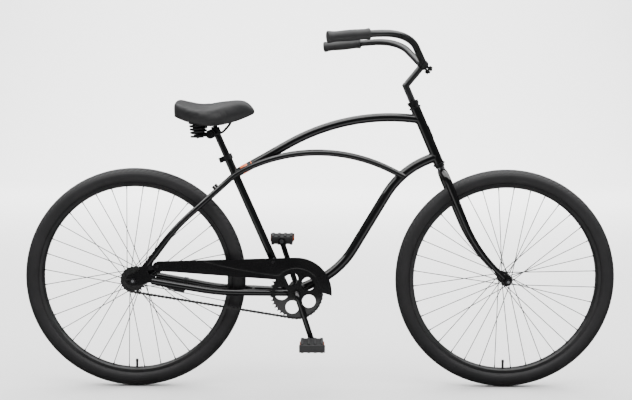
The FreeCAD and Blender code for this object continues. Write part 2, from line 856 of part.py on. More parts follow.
for side_name, side in sides:
    cantilever_points = [
        aside(stay_foot, side * d.seat_stay_start_half_width),
        aside(stay_knee, side * knee_side),
        aside(stay_shoulder, side * d.seat_stay_upper_half_width),
        aside(stay_top, side * cantilever_side),
        aside(cantilever_peak, side * cantilever_side),
        aside(cantilever_end, side * cantilever_end_side),
    ]
    setbacks = share_setbacks(cantilever_points, cantilever_bend_shares)
    stay_outsides[side_name], inside = tube(
        f"cantilever_{side_name}", rounded_path(cantilever_points, setbacks), "dims.cantilever_radius",
        "dims.tube_wall"
    )
    wall = cut(f"cantilever_{side_name}_wall", stay_outsides[side_name], inside)
    end_line = (cantilever_points[-1] - cantilever_points[-2]).normalize()
    cap = cylinder(
        f"cantilever_{side_name}_cap", "dims.cantilever_radius", "dims.tube_wall", cantilever_points[-1],
        end_line
    )
    capped = fuse(f"cantilever_{side_name}_capped", wall, cap)
    cantilevers[side_name] = cut(
        f"cantilever_{side_name}", capped, seat_outside, top_outside, down_outside
    )

# chain stays keep clear of the tyre and end on the bottom bracket shell
chain_stay_foot = rear_axle_place + Vector(d.chain_stay_start_reach, 0, d.chain_stay_start_rise)
chain_stay_end = bracket_place + up * d.chain_stay_foot_rise
chain_stay_sag = corner(chain_stay_foot, -d.chain_stay_rear_angle, chain_stay_end, d.chain_stay_front_angle)
tyre_side = d.tyre_section_radius + d.chain_stay_tyre_room + d.chain_stay_radius
tyre_front = rear_axle_place.x + wheel_radius - d.chain_stay_radius
waist_share = (tyre_front - chain_stay_sag.x) / (chain_stay_end.x - chain_stay_sag.x)
chain_stay_waist = chain_stay_sag + (chain_stay_end - chain_stay_sag) * waist_share
sag_share = (chain_stay_sag.x - chain_stay_foot.x) / (tyre_front - chain_stay_foot.x)
sag_side = d.chain_stay_start_half_width + sag_share * (tyre_side - d.chain_stay_start_half_width)
chain_stay_bend_shares = [0.62, 0.36]
chain_stay_outsides = {}
chain_stay_edges = {}
for side_name, side in sides:
    chain_stay_points = [
        aside(chain_stay_foot, side * d.chain_stay_start_half_width),
        aside(chain_stay_sag, side * sag_side),
        aside(chain_stay_waist, side * tyre_side),
        aside(chain_stay_end, side * d.chain_stay_foot_half_width),
    ]
    setbacks = share_setbacks(chain_stay_points, chain_stay_bend_shares)
    chain_stay_edges[side_name] = rounded_path(chain_stay_points, setbacks)
    chain_stay_outsides[side_name], inside = tube(
        f"chain_stay_{side_name}", chain_stay_edges[side_name], "dims.chain_stay_radius", "dims.tube_wall"
    )

# dropouts: rear facing slots for the axle, slotted into the ends of the stays
slot_share = (d.axle_radius + d.fit_gap) / d.dropout_reach
dropout_shares = [
    (-0.37, slot_share), (-0.32, 0.2), (0.0, 0.29), (0.22, 0.42), (0.58, 0.92), (0.84, 0.8), (0.68, 0.5),
    (0.75, 0.32), (1.1, 0.22), (1.1, -0.03), (0.62, -0.16), (0.3, -0.25), (-0.06, -0.27), (-0.32, -0.2),
    (-0.37, -slot_share), (slot_share, -slot_share), (slot_share, slot_share),
]
dropouts = {}
for side_name, side in sides:
    plate_middle = side * (d.rear_opening_half + d.dropout_thickness / 2)
    dropouts[side_name] = padded(
        f"dropout_{side_name}", share_outline(dropout_shares, "dims.dropout_reach"), "dims.dropout_thickness",
        Placement(aside(rear_axle_place, plate_middle), upright)
    )
    inside = doc.getObject(f"chain_stay_{side_name}_inside")
    stay = cut(
        f"chain_stay_{side_name}", chain_stay_outsides[side_name], inside, stay_trim, seat_outside,
        dropouts[side_name]
    )
    keep(stay, f"chain_stay_{side_name}")
    slotted = cut(f"cantilever_{side_name}_slotted", cantilevers[side_name], dropouts[side_name])
    keep(slotted, f"cantilever_tube_{side_name}")
keep(group("dropout_pair", *dropouts.values()), "dropouts")

# bridges between the stays, ahead of the tyre and above it, and the rack bosses on the seat stays
bridge_x = rear_axle_place.x + wheel_radius + d.bridge_tyre_room + d.bridge_radius
bridge_share = (bridge_x - chain_stay_waist.x) / (chain_stay_end.x - chain_stay_waist.x)
chain_bridge_place = chain_stay_waist + (chain_stay_end - chain_stay_waist) * bridge_share
chain_bridge_half = tyre_side + bridge_share * (d.chain_stay_foot_half_width - tyre_side)
seat_bridge_half = d.seat_stay_upper_half_width
fittings = []
for name, place, half, outsides in (
    ("chain_bridge", chain_bridge_place, chain_bridge_half, chain_stay_outsides),
    ("seat_bridge", stay_shoulder, seat_bridge_half, stay_outsides),
):
    bar = swept(
        f"{name}_bar", [Part.LineSegment(aside(place, -half), aside(place, half)).toShape()],
        "dims.bridge_radius"
    )
    fittings.append(cut(name, bar, outsides["right"], outsides["left"]))
boss_up = heading(d.seat_stay_upper_angle + right_angle)
for side_name, side in sides:
    boss_seat = aside(stay_shoulder, side * d.seat_stay_upper_half_width)
    boss_bar = cylinder(
        f"boss_bar_{side_name}", "dims.boss_radius", "dims.cantilever_radius + dims.boss_length", boss_seat,
        boss_up
    )
    boss_bore = cylinder(
        f"boss_bore_{side_name}", "dims.boss_bore_radius", "dims.boss_bore_depth + dims.cut_overrun",
        boss_seat + boss_up * (d.cantilever_radius + d.boss_length - d.boss_bore_depth), boss_up
    )
    fittings.append(cut(f"boss_{side_name}", boss_bar, boss_bore, stay_outsides[side_name]))
keep(group("fitting_group", *fittings), "stay_fittings")

# pressed headset cups
bore = "dims.steerer_radius + dims.bearing_gap"
pressed = "dims.head_tube_radius - dims.tube_wall"
cup_outline = [
    (bore, "0"), ("dims.head_cup_radius", "0"), ("dims.head_cup_radius", "dims.head_cup_height"),
    (pressed, "dims.head_cup_height"), (pressed, "dims.head_cup_height + dims.head_cup_depth"),
    (bore, "dims.head_cup_height + dims.head_cup_depth"),
]
cups = group(
    "head_cup_pair",
    turned("lower_head_cup", cup_outline, facing(on_steer(0), steer_up)),
    turned("upper_head_cup", cup_outline, facing(on_steer(head_top), -steer_up)),
)
keep(cups, "headset_cups")

# blank badge on the front of the head tube
badge_block = box(
    "badge_block", "dims.badge_height", "dims.badge_width", "dims.head_tube_radius + dims.badge_thickness",
    Placement(
        on_steer(head_top * badge_rise_share) - steer_up * (d.badge_height / 2) + left * (d.badge_width / 2),
        Rotation(steer_up, -left, steer_ahead, "XYZ")
    )
)
badge_round = cylinder(
    "badge_round", "dims.head_tube_radius + dims.badge_thickness", "dims.head_tube_length",
    on_steer(d.head_cup_height), steer_up
)
badge_arc = doc.addObject("Part::Common", "badge_arc")
badge_arc.Base = badge_block
badge_arc.Tool = badge_round
keep(cut("badge", badge_arc, head_outside), "head_badge")

# bottom bracket cups and cones
cup_bore = "dims.bracket_cone_radius + dims.bearing_gap"
shell_bore = "dims.bracket_shell_radius - dims.bracket_shell_wall"
bracket_cup = [
    (cup_bore, "dims.bracket_cup_lip"), ("dims.bracket_shell_radius", "dims.bracket_cup_lip"),
    ("dims.bracket_shell_radius", "0"), (shell_bore, "0"), (shell_bore, "-dims.bracket_cup_depth"),
    (cup_bore, "-dims.bracket_cup_depth"),
]
cone_bore = "dims.crank_axle_radius + dims.fit_gap"
bracket_cone = ring_outline(
    cone_bore, "dims.bracket_cone_radius", "dims.bracket_cup_lip - dims.bracket_cone_width",
    "dims.bracket_cup_lip"
)
shell_ends = [
    (side_name, facing(bracket_place + left * (side * d.bracket_shell_half_width), left * side))
    for side_name, side in sides
]
keep(
    group("bracket_cup_pair", *[turned(f"bracket_cup_{n}", bracket_cup, p) for n, p in shell_ends]),
    "bottom_bracket_cups"
)
keep(
    group("bracket_cone_pair", *[turned(f"bracket_cone_{n}", bracket_cone, p) for n, p in shell_ends]),
    "bottom_bracket_cones"
)

# seat clamp: a split collar with two ears behind it, and its bolt
collar_foot = on_post(d.seat_tube_top_station - d.seat_clamp_height)
collar_outside = cylinder(
    "collar_outside", "dims.seat_tube_radius + dims.seat_clamp_wall", "dims.seat_clamp_height", collar_foot,
    post_up
)
clamp_frame = Rotation(-post_ahead, -left, post_up, "XYZ")
ear_reach = "dims.seat_tube_radius + dims.seat_clamp_wall + dims.seat_clamp_ear_reach"
ears = box(
    "collar_ears", ear_reach, "dims.seat_clamp_ear_half_width * 2", "dims.seat_clamp_height",
    Placement(collar_foot + left * d.seat_clamp_ear_half_width, clamp_frame)
)
collar_bore = cylinder(
    "collar_bore", "dims.seat_tube_radius + dims.fit_gap", "dims.seat_clamp_height + dims.cut_overrun * 2",
    collar_foot - post_up * d.cut_overrun, post_up
)
collar_slot = box(
    "collar_slot", f"{ear_reach} + dims.cut_overrun", "dims.seat_clamp_slot",
    "dims.seat_clamp_height + dims.cut_overrun * 2",
    Placement(collar_foot + left * (d.seat_clamp_slot / 2) - post_up * d.cut_overrun, clamp_frame)
)
clamp_bolt_middle = (
    collar_foot + post_up * (d.seat_clamp_height / 2)
    - post_ahead * (d.seat_tube_radius + d.seat_clamp_wall + d.seat_clamp_ear_reach / 2)
)
clamp_bolt_start = clamp_bolt_middle - left * (
    d.seat_clamp_ear_half_width + d.seat_clamp_bolt_radius * bolt_head_ratio
)
clamp_bolt_length = f"(dims.seat_clamp_ear_half_width + dims.seat_clamp_bolt_radius * {bolt_head_ratio}) * 2"
clamp_shank = cylinder(
    "clamp_shank", "dims.seat_clamp_bolt_radius", clamp_bolt_length, clamp_bolt_start, left
)
clamp_head = cylinder(
    "clamp_head", f"dims.seat_clamp_bolt_radius * {bolt_head_ratio}",
    f"dims.seat_clamp_bolt_radius * {bolt_head_ratio}", clamp_bolt_start, left
)
clamp_end = cylinder(
    "clamp_end", "dims.seat_clamp_bolt_radius * 1.7", f"dims.seat_clamp_bolt_radius * {bolt_head_ratio}",
    clamp_bolt_middle + left * d.seat_clamp_ear_half_width, left
)
clamp_hole = cylinder(
    "clamp_hole", "dims.seat_clamp_bolt_radius + dims.fit_gap",
    "dims.seat_clamp_ear_half_width * 2 + dims.cut_overrun * 2",
    clamp_bolt_middle - left * (d.seat_clamp_ear_half_width + d.cut_overrun), left
)
collar = cut("collar", fuse("collar_with_ears", collar_outside, ears), collar_bore, collar_slot, clamp_hole)
clamp_bolt = fuse("clamp_bolt", clamp_shank, clamp_head, clamp_end)
keep(group("seat_clamp_set", collar, clamp_bolt), "seat_clamp")


# drive: toothed discs, chain, crank and pedals

def pitch_radius(teeth):
    return d.chain_pitch / 2 / math.sin(math.pi / teeth)


def toothed_disc(teeth, first_gap_angle):
    # flat disc in its own XY plane with a roller seat at each pitch point
    seat_radius = d.roller_radius + d.hole_gap
    pitch = pitch_radius(teeth)
    tip = pitch + d.tooth_tip_rise
    step = full_turn / teeth
    seat_half_angle = 62
    edges = []
    for tooth in range(teeth):
        angle = first_gap_angle + tooth * step
        out = Vector(math.cos(math.radians(angle)), math.sin(math.radians(angle)), 0)
        middle = out * pitch
        seat = []
        for turn in (-seat_half_angle, 0, seat_half_angle):
            spot = Rotation(up, turn).multVec(-out) * seat_radius
            seat.append(middle + spot)
        tip_turn = math.degrees(d.tooth_tip_half_width / tip)
        tips = []
        for turn in (-step / 2 + tip_turn, step / 2 - tip_turn, step / 2 + tip_turn):
            tips.append(Rotation(up, turn).multVec(out) * tip)
        first, last = sorted((seat[0], seat[2]), key=lambda spot: (spot - tips[0]).Length)
        edges.append(Part.LineSegment(tips[0], first).toShape())
        edges.append(Part.Arc(first, seat[1], last).toShape())
        edges.append(Part.LineSegment(last, tips[1]).toShape())
        edges.append(Part.LineSegment(tips[1], tips[2]).toShape())
    face = Part.Face(Part.Wire(edges))
    face.translate(Vector(0, 0, -d.tooth_thickness / 2))
    return face.extrude(Vector(0, 0, d.tooth_thickness))


ring_pitch = pitch_radius(d.chainring_teeth)
sprocket_pitch = pitch_radius(d.sprocket_teeth)
line_of_centres = math.degrees(math.atan2(-d.bottom_bracket_drop, bracket_back))
lean = math.degrees(math.asin((ring_pitch - sprocket_pitch) / d.chain_stay_length))
upper_contact = line_of_centres + right_angle + lean
lower_contact = line_of_centres - right_angle - lean
chain_offset = -left * d.chain_line

ring_disc = solid("ring_disc", toothed_disc(int(d.chainring_teeth), upper_contact))
ring_disc.Placement = Placement(bracket_place + chain_offset, upright)
ring_bore = cylinder(
    "ring_bore", "dims.crank_axle_radius + dims.fit_gap", "dims.tooth_thickness + dims.cut_overrun * 2",
    bracket_place + chain_offset - left * (d.tooth_thickness / 2 + d.cut_overrun), left
)
first_window_angle = 38
windows = []
for window in range(int(d.chainring_hole_count)):
    window_angle = first_window_angle + window * full_turn / d.chainring_hole_count
    spot = bracket_place + heading(window_angle) * d.chainring_hole_circle
    windows.append(cylinder(
        f"ring_window_{window}", "dims.chainring_hole_radius", "dims.tooth_thickness + dims.cut_overrun * 2",
        spot + chain_offset - left * (d.tooth_thickness / 2 + d.cut_overrun), left
    ))
keep(cut("chainring", ring_disc, ring_bore, *windows), "chainring")

sprocket_disc = solid("sprocket_disc", toothed_disc(int(d.sprocket_teeth), lower_contact))
sprocket_disc.Placement = Placement(rear_axle_place + chain_offset, upright)
boss_start = rear_axle_place - left * (d.chain_line + d.sprocket_boss_half_width)
sprocket_boss = cylinder(
    "sprocket_boss", "dims.sprocket_boss_radius",
    "dims.chain_line + dims.sprocket_boss_half_width - dims.rear_hub_half_length - dims.bearing_gap",
    boss_start, left
)
sprocket_bore = cylinder(
    "sprocket_bore", "dims.rear_cone_radius + dims.bearing_gap", "dims.chain_line",
    boss_start - left * d.cut_overrun, left
)
keep(cut("sprocket", fuse("sprocket_blank", sprocket_disc, sprocket_boss), sprocket_bore), "rear_sprocket")


def chain_rollers():
    # roller centres in order: over the chainring, back along the bottom, round the sprocket, forward on top
    ring_step = full_turn / d.chainring_teeth
    sprocket_step = full_turn / d.sprocket_teeth
    ring_links = round((upper_contact - lower_contact) / ring_step)
    sprocket_links = round((full_turn - upper_contact + lower_contact) / sprocket_step)
    on_ring = [
        bracket_place + heading(upper_contact - link * ring_step) * ring_pitch
        for link in range(ring_links + 1)
    ]
    on_sprocket = [
        rear_axle_place + heading(lower_contact - link * sprocket_step) * sprocket_pitch
        for link in range(sprocket_links + 1)
    ]
    lower_span = on_sprocket[0] - on_ring[-1]
    upper_span = on_ring[0] - on_sprocket[-1]
    upper_links = round(upper_span.Length / d.chain_pitch)
    lower_links = round(lower_span.Length / d.chain_pitch)
    if (ring_links + sprocket_links + upper_links + lower_links) % 2:
        lower_links += 1
    lower_run = [on_ring[-1] + lower_span * (link / lower_links) for link in range(1, lower_links)]
    upper_run = [on_sprocket[-1] + upper_span * (link / upper_links) for link in range(1, upper_links)]
    return on_ring + lower_run + on_sprocket + upper_run


def link_plate(length, radius, waist, thickness, level):
    # waisted plate along its own X axis, centred, from the level upwards
    half = length / 2
    hollow = (half**2 + waist**2 - radius**2) / (2 * (radius - waist))
    touch_share = radius / (radius + hollow)
    knee_x = half - half * touch_share
    knee_y = (waist + hollow) * touch_share
    low_left = Vector(-knee_x, -knee_y, level)
    low_right = Vector(knee_x, -knee_y, level)
    high_left = Vector(-knee_x, knee_y, level)
    high_right = Vector(knee_x, knee_y, level)
    face = Part.Face(Part.Wire([
        Part.Arc(low_left, Vector(0, -waist, level), low_right).toShape(),
        Part.Arc(low_right, Vector(half + radius, 0, level), high_right).toShape(),
        Part.Arc(high_right, Vector(0, waist, level), high_left).toShape(),
        Part.Arc(high_left, Vector(-half - radius, 0, level), low_left).toShape(),
    ]))
    return face.extrude(Vector(0, 0, thickness))


def chain_links():
    half = d.chain_pitch / 2
    inner_level = d.roller_half_width
    outer_level = inner_level + d.link_plate_thickness + d.link_plate_gap
    pin_reach = outer_level + d.link_plate_thickness + d.chain_pin_overhang
    ends = (Vector(-half, 0, 0), Vector(half, 0, 0))
    inner = []
    outer = []
    for low in (inner_level, -inner_level - d.link_plate_thickness):
        inner.append(link_plate(
            d.chain_pitch, d.link_plate_radius, d.link_plate_waist, d.link_plate_thickness, low
        ))
    for low in (outer_level, -outer_level - d.link_plate_thickness):
        outer.append(link_plate(
            d.chain_pitch, d.link_plate_radius, d.link_plate_waist, d.link_plate_thickness, low
        ))
    for end in ends:
        inner.append(Part.makeCylinder(d.roller_radius, 2 * inner_level, end - up * inner_level, up))
        outer.append(Part.makeCylinder(d.chain_pin_radius, 2 * pin_reach, end - up * pin_reach, up))
    inner_link = inner[0].fuse(inner[1:])
    for end in ends:
        bore_length = 2 * (inner_level + d.link_plate_thickness + d.cut_overrun)
        bore = Part.makeCylinder(
            d.chain_pin_radius + d.hole_gap, bore_length, end - up * (bore_length / 2), up
        )
        inner_link = inner_link.cut(bore)
    outer_link = outer[0].fuse(outer[1:])
    rollers = chain_rollers()
    links = []
    for index, roller in enumerate(rollers):
        following = rollers[(index + 1) % len(rollers)]
        along = (following - roller).normalize()
        link = (inner_link if index % 2 else outer_link).copy()
        turn = Rotation(along, Vector(-along.z, 0, along.x), -left, "XYZ")
        link.Placement = Placement((roller + following) * 0.5 + chain_offset, turn)
        links.append(link)
    return Part.Compound(links)


keep(solid("chain_loop", chain_links()), "chain")

right_crank_angle = -right_angle + d.crank_angle
crank_reach = heading(right_crank_angle) * d.crank_length
right_pedal_place = bracket_place + crank_reach
left_pedal_place = bracket_place - crank_reach
crank_points = [
    aside(right_pedal_place, -d.crank_half_width),
    aside(bracket_place, -d.crank_half_width),
    aside(bracket_place, d.crank_half_width),
    aside(left_pedal_place, d.crank_half_width),
]
crank_bar = swept(
    "crank_bar", rounded_path(crank_points, [d.crank_bend_radius] * 2), "dims.crank_bar_radius"
)
crank_axle = cylinder(
    "crank_axle", "dims.crank_axle_radius",
    "(dims.crank_half_width - dims.crank_bend_radius) * 2 + dims.tooth_thickness * 2",
    bracket_place - left * (d.crank_half_width - d.crank_bend_radius + d.tooth_thickness), left
)
pedal_bosses = []
boss_holes = []
spindles = []
for side_name, side, place in (("right", -1, right_pedal_place), ("left", 1, left_pedal_place)):
    outwards = left * side
    middle = aside(place, side * d.crank_half_width)
    pedal_bosses.append(cylinder(
        f"pedal_boss_{side_name}", "dims.pedal_boss_radius", "dims.pedal_boss_half_thickness * 2",
        middle - outwards * d.pedal_boss_half_thickness, outwards
    ))
    boss_holes.append(cylinder(
        f"pedal_hole_{side_name}", "dims.pedal_thread_radius + dims.fit_gap",
        "dims.pedal_boss_half_thickness * 2 + dims.cut_overrun * 2",
        middle - outwards * (d.pedal_boss_half_thickness + d.cut_overrun), outwards
    ))
    thread = "dims.pedal_thread_radius"
    shaft = "dims.pedal_spindle_radius"
    boss_face = "dims.pedal_boss_half_thickness"
    spindles.append(turned(
        f"spindle_{side_name}",
        [
            ("0", f"-{boss_face}"), (thread, f"-{boss_face}"), (thread, f"{boss_face}"),
            (f"{thread} + dims.pedal_gap / 2", f"{boss_face}"),
            (f"{thread} + dims.pedal_gap / 2", f"{boss_face} + dims.pedal_gap"),
            (shaft, f"{boss_face} + dims.pedal_gap"),
            (shaft, f"{boss_face} + dims.pedal_gap + dims.pedal_width"),
            ("0", f"{boss_face} + dims.pedal_gap + dims.pedal_width"),
        ],
        facing(middle, outwards)
    ))
keep(cut("crank", fuse("crank_blank", crank_bar, crank_axle, *pedal_bosses), *boss_holes), "crank")
keep(group("spindle_pair", *spindles), "pedal_spindles")

pedal_corner_outline = []
for across, along in ((-1, -1), (1, -1), (1, 1), (-1, 1)):
    long_side = f"dims.pedal_length / 2 * {across}"
    wide_side = f"dims.pedal_width / 2 * {along}"
    short = (f"{long_side} - dims.pedal_corner * {across}", wide_side)
    late = (long_side, f"{wide_side} - dims.pedal_corner * {along}")
    pedal_corner_outline += [late, short] if across == along else [short, late]
for side_name, side, place in (("right", -1, right_pedal_place), ("left", 1, left_pedal_place)):
    pedal_inner = d.crank_half_width + d.pedal_boss_half_thickness + d.pedal_gap + d.bearing_gap
    pedal_middle = aside(place, side * (pedal_inner + d.pedal_width / 2))
    block = padded(
        f"pedal_block_{side_name}", pedal_corner_outline, "dims.pedal_height",
        Placement(pedal_middle, Rotation())
    )
    bore = cylinder(
        f"pedal_bore_{side_name}", "dims.pedal_spindle_radius + dims.fit_gap",
        "dims.pedal_width + dims.cut_overrun * 2",
        pedal_middle - left * (d.pedal_width / 2 + d.cut_overrun), left
    )
    reflectors = []
    pockets = []
    for end in (-1, 1):
        lens_place = pedal_middle + Vector(end * (d.pedal_length - d.reflector_depth) / 2, 0, 0)
        corner_place = lens_place - Vector(d.reflector_depth, d.reflector_width, d.reflector_height) * 0.5
        for kind, made in (("lens", reflectors), ("pocket", pockets)):
            made.append(box(
                f"{kind}_{side_name}_{'front' if end > 0 else 'rear'}", "dims.reflector_depth",
                "dims.reflector_width",
                "dims.reflector_height", Placement(corner_place, Rotation())
            ))
    keep(cut(f"pedal_{side_name}", block, bore, *pockets), f"pedal_{side_name}")
    keep(group(f"reflector_pair_{side_name}", *reflectors), f"pedal_reflectors_{side_name}")


# chain guard: a plate beside the chain with a lip over it

guard_face = d.chain_line + d.roller_half_width + 2 * d.link_plate_thickness + d.link_plate_gap
guard_face += d.chain_pin_overhang + d.guard_side_gap
tab_middle = rear_axle_place + Vector(d.guard_tab_reach, 0, d.guard_tab_rise)


def tangent_angle(radius, tab_radius):
    # direction of the line that touches the top of the tab's round end and of the guard's arc
    gap = tab_middle - bracket_place
    towards = math.degrees(math.atan2(gap.z, gap.x))
    return towards - math.degrees(math.acos((radius - tab_radius) / gap.Length))


top_touch = tangent_angle(d.guard_outer_radius, d.guard_tab_radius)


def guard_edges(inset):
    # top edge of the guard from its rear tab to its front tip, moved inwards by the inset
    arc = d.guard_outer_radius - inset
    rear = tab_middle + heading(top_touch) * (d.guard_tab_radius - inset)
    touch = bracket_place + heading(top_touch) * arc
    half_way = bracket_place + heading((top_touch + d.guard_tip_outer_angle) / 2) * arc
    tip = bracket_place + heading(d.guard_tip_outer_angle) * arc
    return rear, touch, half_way, tip


rear, touch, half_way, tip = guard_edges(0)
inner_start = bracket_place + heading(d.guard_tip_inner_angle) * d.guard_inner_radius
inner_middle_angle = (d.guard_tip_inner_angle + d.guard_inner_end_angle) / 2
inner_middle = bracket_place + heading(inner_middle_angle) * d.guard_inner_radius
inner_end = bracket_place + heading(d.guard_inner_end_angle) * d.guard_inner_radius
tab_bottom = tab_middle - heading(top_touch) * d.guard_tab_radius
tab_back = tab_middle + heading(top_touch + right_angle) * d.guard_tab_radius
guard_outline = Part.Wire([
    Part.LineSegment(rear, touch).toShape(),
    Part.Arc(touch, half_way, tip).toShape(),
    Part.LineSegment(tip, inner_start).toShape(),
    Part.Arc(inner_start, inner_middle, inner_end).toShape(),
    Part.LineSegment(inner_end, tab_bottom).toShape(),
    Part.Arc(tab_bottom, tab_back, rear).toShape(),
])
guard_plate = Part.Face(guard_outline).extrude(-left * d.guard_thickness)
in_rear, in_touch, in_half_way, in_tip = guard_edges(d.guard_thickness)
lip_outline = Part.Wire([
    Part.LineSegment(rear, touch).toShape(),
    Part.Arc(touch, half_way, tip).toShape(),
    Part.LineSegment(tip, in_tip).toShape(),
    Part.Arc(in_tip, in_half_way, in_touch).toShape(),
    Part.LineSegment(in_touch, in_rear).toShape(),
    Part.LineSegment(in_rear, rear).toShape(),
])
guard_lip = Part.Face(lip_outline).extrude(left * d.guard_lip_depth)
guard_blank = solid("guard_blank", guard_plate.fuse(guard_lip).removeSplitter())
guard_blank.Placement.Base = -left * guard_face

# the guard is screwed to a tab on the right dropout and to a bracket on the seat tube
front_screw_place = on_post(d.guard_bracket_station)
screw_places = (("rear", tab_middle), ("front", front_screw_place))
guard_holes = []
screws = []
for name, place in screw_places:
    guard_holes.append(cylinder(
        f"guard_hole_{name}", "dims.guard_screw_radius + dims.fit_gap", "dims.guard_lip_depth",
        aside(place, -guard_face - d.guard_lip_depth / 2), left
    ))
    seat = aside(place, -guard_face - d.guard_thickness)
    shank = cylinder(
        f"guard_shank_{name}", "dims.guard_screw_radius",
        "dims.guard_thickness + dims.guard_bracket_thickness + dims.guard_screw_head_height", seat, left
    )
    head = cylinder(
        f"guard_head_{name}", "dims.guard_screw_head_radius", "dims.guard_screw_head_height", seat, -left
    )
    screws.append(fuse(f"guard_screw_{name}", shank, head))
keep(cut("guard", guard_blank, *guard_holes), "chain_guard")

bracket_frame = Rotation(post_ahead, post_up, -left, "XYZ")
brackets = []
foot_plate = box(
    "bracket_foot", "dims.guard_bracket_width", "dims.guard_bracket_width", "dims.guard_bracket_thickness",
    Placement(
        aside(front_screw_place, -guard_face + d.guard_bracket_thickness)
        - (post_up + post_ahead) * (d.guard_bracket_width / 2), bracket_frame
    )
)
arm_top = front_screw_place + post_up * (d.guard_bracket_width / 2 - d.guard_bracket_thickness)
arm = box(
    "bracket_arm", "dims.guard_bracket_width", "dims.guard_bracket_thickness",
    str(guard_face - d.guard_bracket_thickness / 2),
    Placement(arm_top - post_ahead * (d.guard_bracket_width / 2), bracket_frame)
)
bracket_hole = cylinder(
    "bracket_hole", "dims.guard_screw_radius + dims.fit_gap",
    "dims.guard_bracket_thickness + dims.cut_overrun * 2",
    aside(front_screw_place, -guard_face - d.cut_overrun), left
)
brackets.append(
    cut("front_bracket", fuse("front_bracket_blank", foot_plate, arm), bracket_hole, seat_outside)
)
strap_start = rear_axle_place + heading(d.seat_stay_start_angle) * (
    d.seat_stay_start_reach * strap_place_share
)
strap_line = tab_middle - strap_start
strap_ahead = strap_line.normalize()
strap_length = (tab_middle - strap_start).Length + d.guard_bracket_width / 2
strap = padded(
    "rear_strap",
    rectangle(str(strap_length / 2), "dims.guard_bracket_width / 2"), "dims.guard_bracket_thickness",
    Placement(
        aside(strap_start + strap_ahead * (strap_length / 2), -guard_face + d.guard_bracket_thickness / 2),
        Rotation(strap_ahead, Vector(-strap_ahead.z, 0, strap_ahead.x), -left, "XYZ")
    )
)
strap_hole = cylinder(
    "strap_hole", "dims.guard_screw_radius + dims.fit_gap",
    "dims.guard_bracket_thickness + dims.cut_overrun * 2",
    aside(tab_middle, -guard_face - d.cut_overrun), left
)
brackets.append(cut("rear_bracket", strap, strap_hole, dropouts["right"], stay_outsides["right"]))
keep(group("guard_fixing_group", *brackets, *screws), "chain_guard_fixings")

# coaster brake arm on the left side, clipped to the chain stay
arm_level = d.rear_hub_half_length + d.rear_opening_half
arm_middle = aside(rear_axle_place, arm_level / 2)
arm_along = heading(-d.brake_arm_angle)
arm_tip = arm_middle + arm_along * d.brake_arm_length
arm_start = left * (d.brake_arm_thickness / 2)
arm_disc = cylinder(
    "arm_disc", "dims.brake_arm_hub_radius", "dims.brake_arm_thickness", arm_middle - arm_start, left
)
arm_end = cylinder(
    "arm_end", "dims.brake_arm_tip_radius", "dims.brake_arm_thickness", arm_tip - arm_start, left
)
arm_shank = padded(
    "arm_shank",
    [
        ("0", f"-dims.brake_arm_hub_radius * {brake_arm_root_share}"),
        ("dims.brake_arm_length", "-dims.brake_arm_tip_radius"),
        ("dims.brake_arm_length", "dims.brake_arm_tip_radius"),
        ("0", f"dims.brake_arm_hub_radius * {brake_arm_root_share}"),
    ],
    "dims.brake_arm_thickness",
    Placement(arm_middle, Rotation(arm_along, Vector(-arm_along.z, 0, arm_along.x), -left, "XYZ"))
)
arm_bore = cylinder(
    "arm_bore", "dims.rear_cone_radius + dims.fit_gap", "dims.brake_arm_thickness + dims.cut_overrun * 2",
    arm_middle - arm_start - left * d.cut_overrun, left
)
bolt_hole = cylinder(
    "arm_bolt_hole", "dims.brake_bolt_radius + dims.fit_gap",
    "dims.brake_arm_thickness + dims.cut_overrun * 2",
    arm_tip - arm_start - left * d.cut_overrun, left
)
brake_arm = cut("brake_arm", fuse("arm_blank", arm_disc, arm_end, arm_shank), arm_bore, bolt_hole)
# the clip goes round the stay where the stay passes the tip of the arm
spot_count = 240
stay_spots = Part.Wire(chain_stay_edges["left"]).discretize(spot_count)
offsets = [abs((flat(spot) - flat(arm_tip)).dot(arm_along)) for spot in stay_spots[1:-1]]
clip_index = offsets.index(min(offsets)) + 1
clip_middle = stay_spots[clip_index]
stay_along = (stay_spots[clip_index + 1] - stay_spots[clip_index - 1]).normalize()
clip_start = clip_middle - stay_along * (d.brake_clip_width / 2)
clip_outside = cylinder(
    "clip_outside", "dims.chain_stay_radius + dims.brake_clip_thickness", "dims.brake_clip_width",
    clip_start, stay_along
)
clip_side = arm_middle.y + d.brake_arm_thickness / 2
clip_drop = (flat(clip_middle) - flat(arm_tip)).Length + d.brake_arm_tip_radius
clip_tab = box(
    "clip_tab", "dims.brake_clip_width", "dims.brake_clip_thickness", str(clip_drop),
    Placement(
        aside(arm_tip, clip_side) - arm_along * (d.brake_clip_width / 2)
        - Vector(-arm_along.z, 0, arm_along.x) * d.brake_arm_tip_radius,
        Rotation(arm_along, left, Vector(-arm_along.z, 0, arm_along.x), "XYZ")
    )
)
clip_hole = cylinder(
    "clip_hole", "dims.brake_bolt_radius + dims.fit_gap", "dims.brake_clip_thickness + dims.cut_overrun * 2",
    aside(arm_tip, clip_side - d.cut_overrun), left
)
brake_clip = cut(
    "brake_clip", fuse("clip_blank", clip_outside, clip_tab), chain_stay_outsides["left"], clip_hole
)
bolt_start = arm_tip - arm_start - left * d.brake_bolt_radius
brake_bolt = fuse(
    "brake_bolt",
    cylinder(
        "brake_bolt_shank", "dims.brake_bolt_radius",
        "dims.brake_arm_thickness + dims.brake_clip_thickness + dims.brake_bolt_radius * 2", bolt_start, left
    ),
    cylinder(
        "brake_bolt_head", f"dims.brake_bolt_radius * {bolt_head_ratio}", "dims.brake_bolt_radius",
        bolt_start, left
    ),
    cylinder(
        "brake_bolt_nut", f"dims.brake_bolt_radius * {bolt_head_ratio}", "dims.brake_bolt_radius",
        aside(arm_tip, clip_side + d.brake_clip_thickness), left
    ),
)
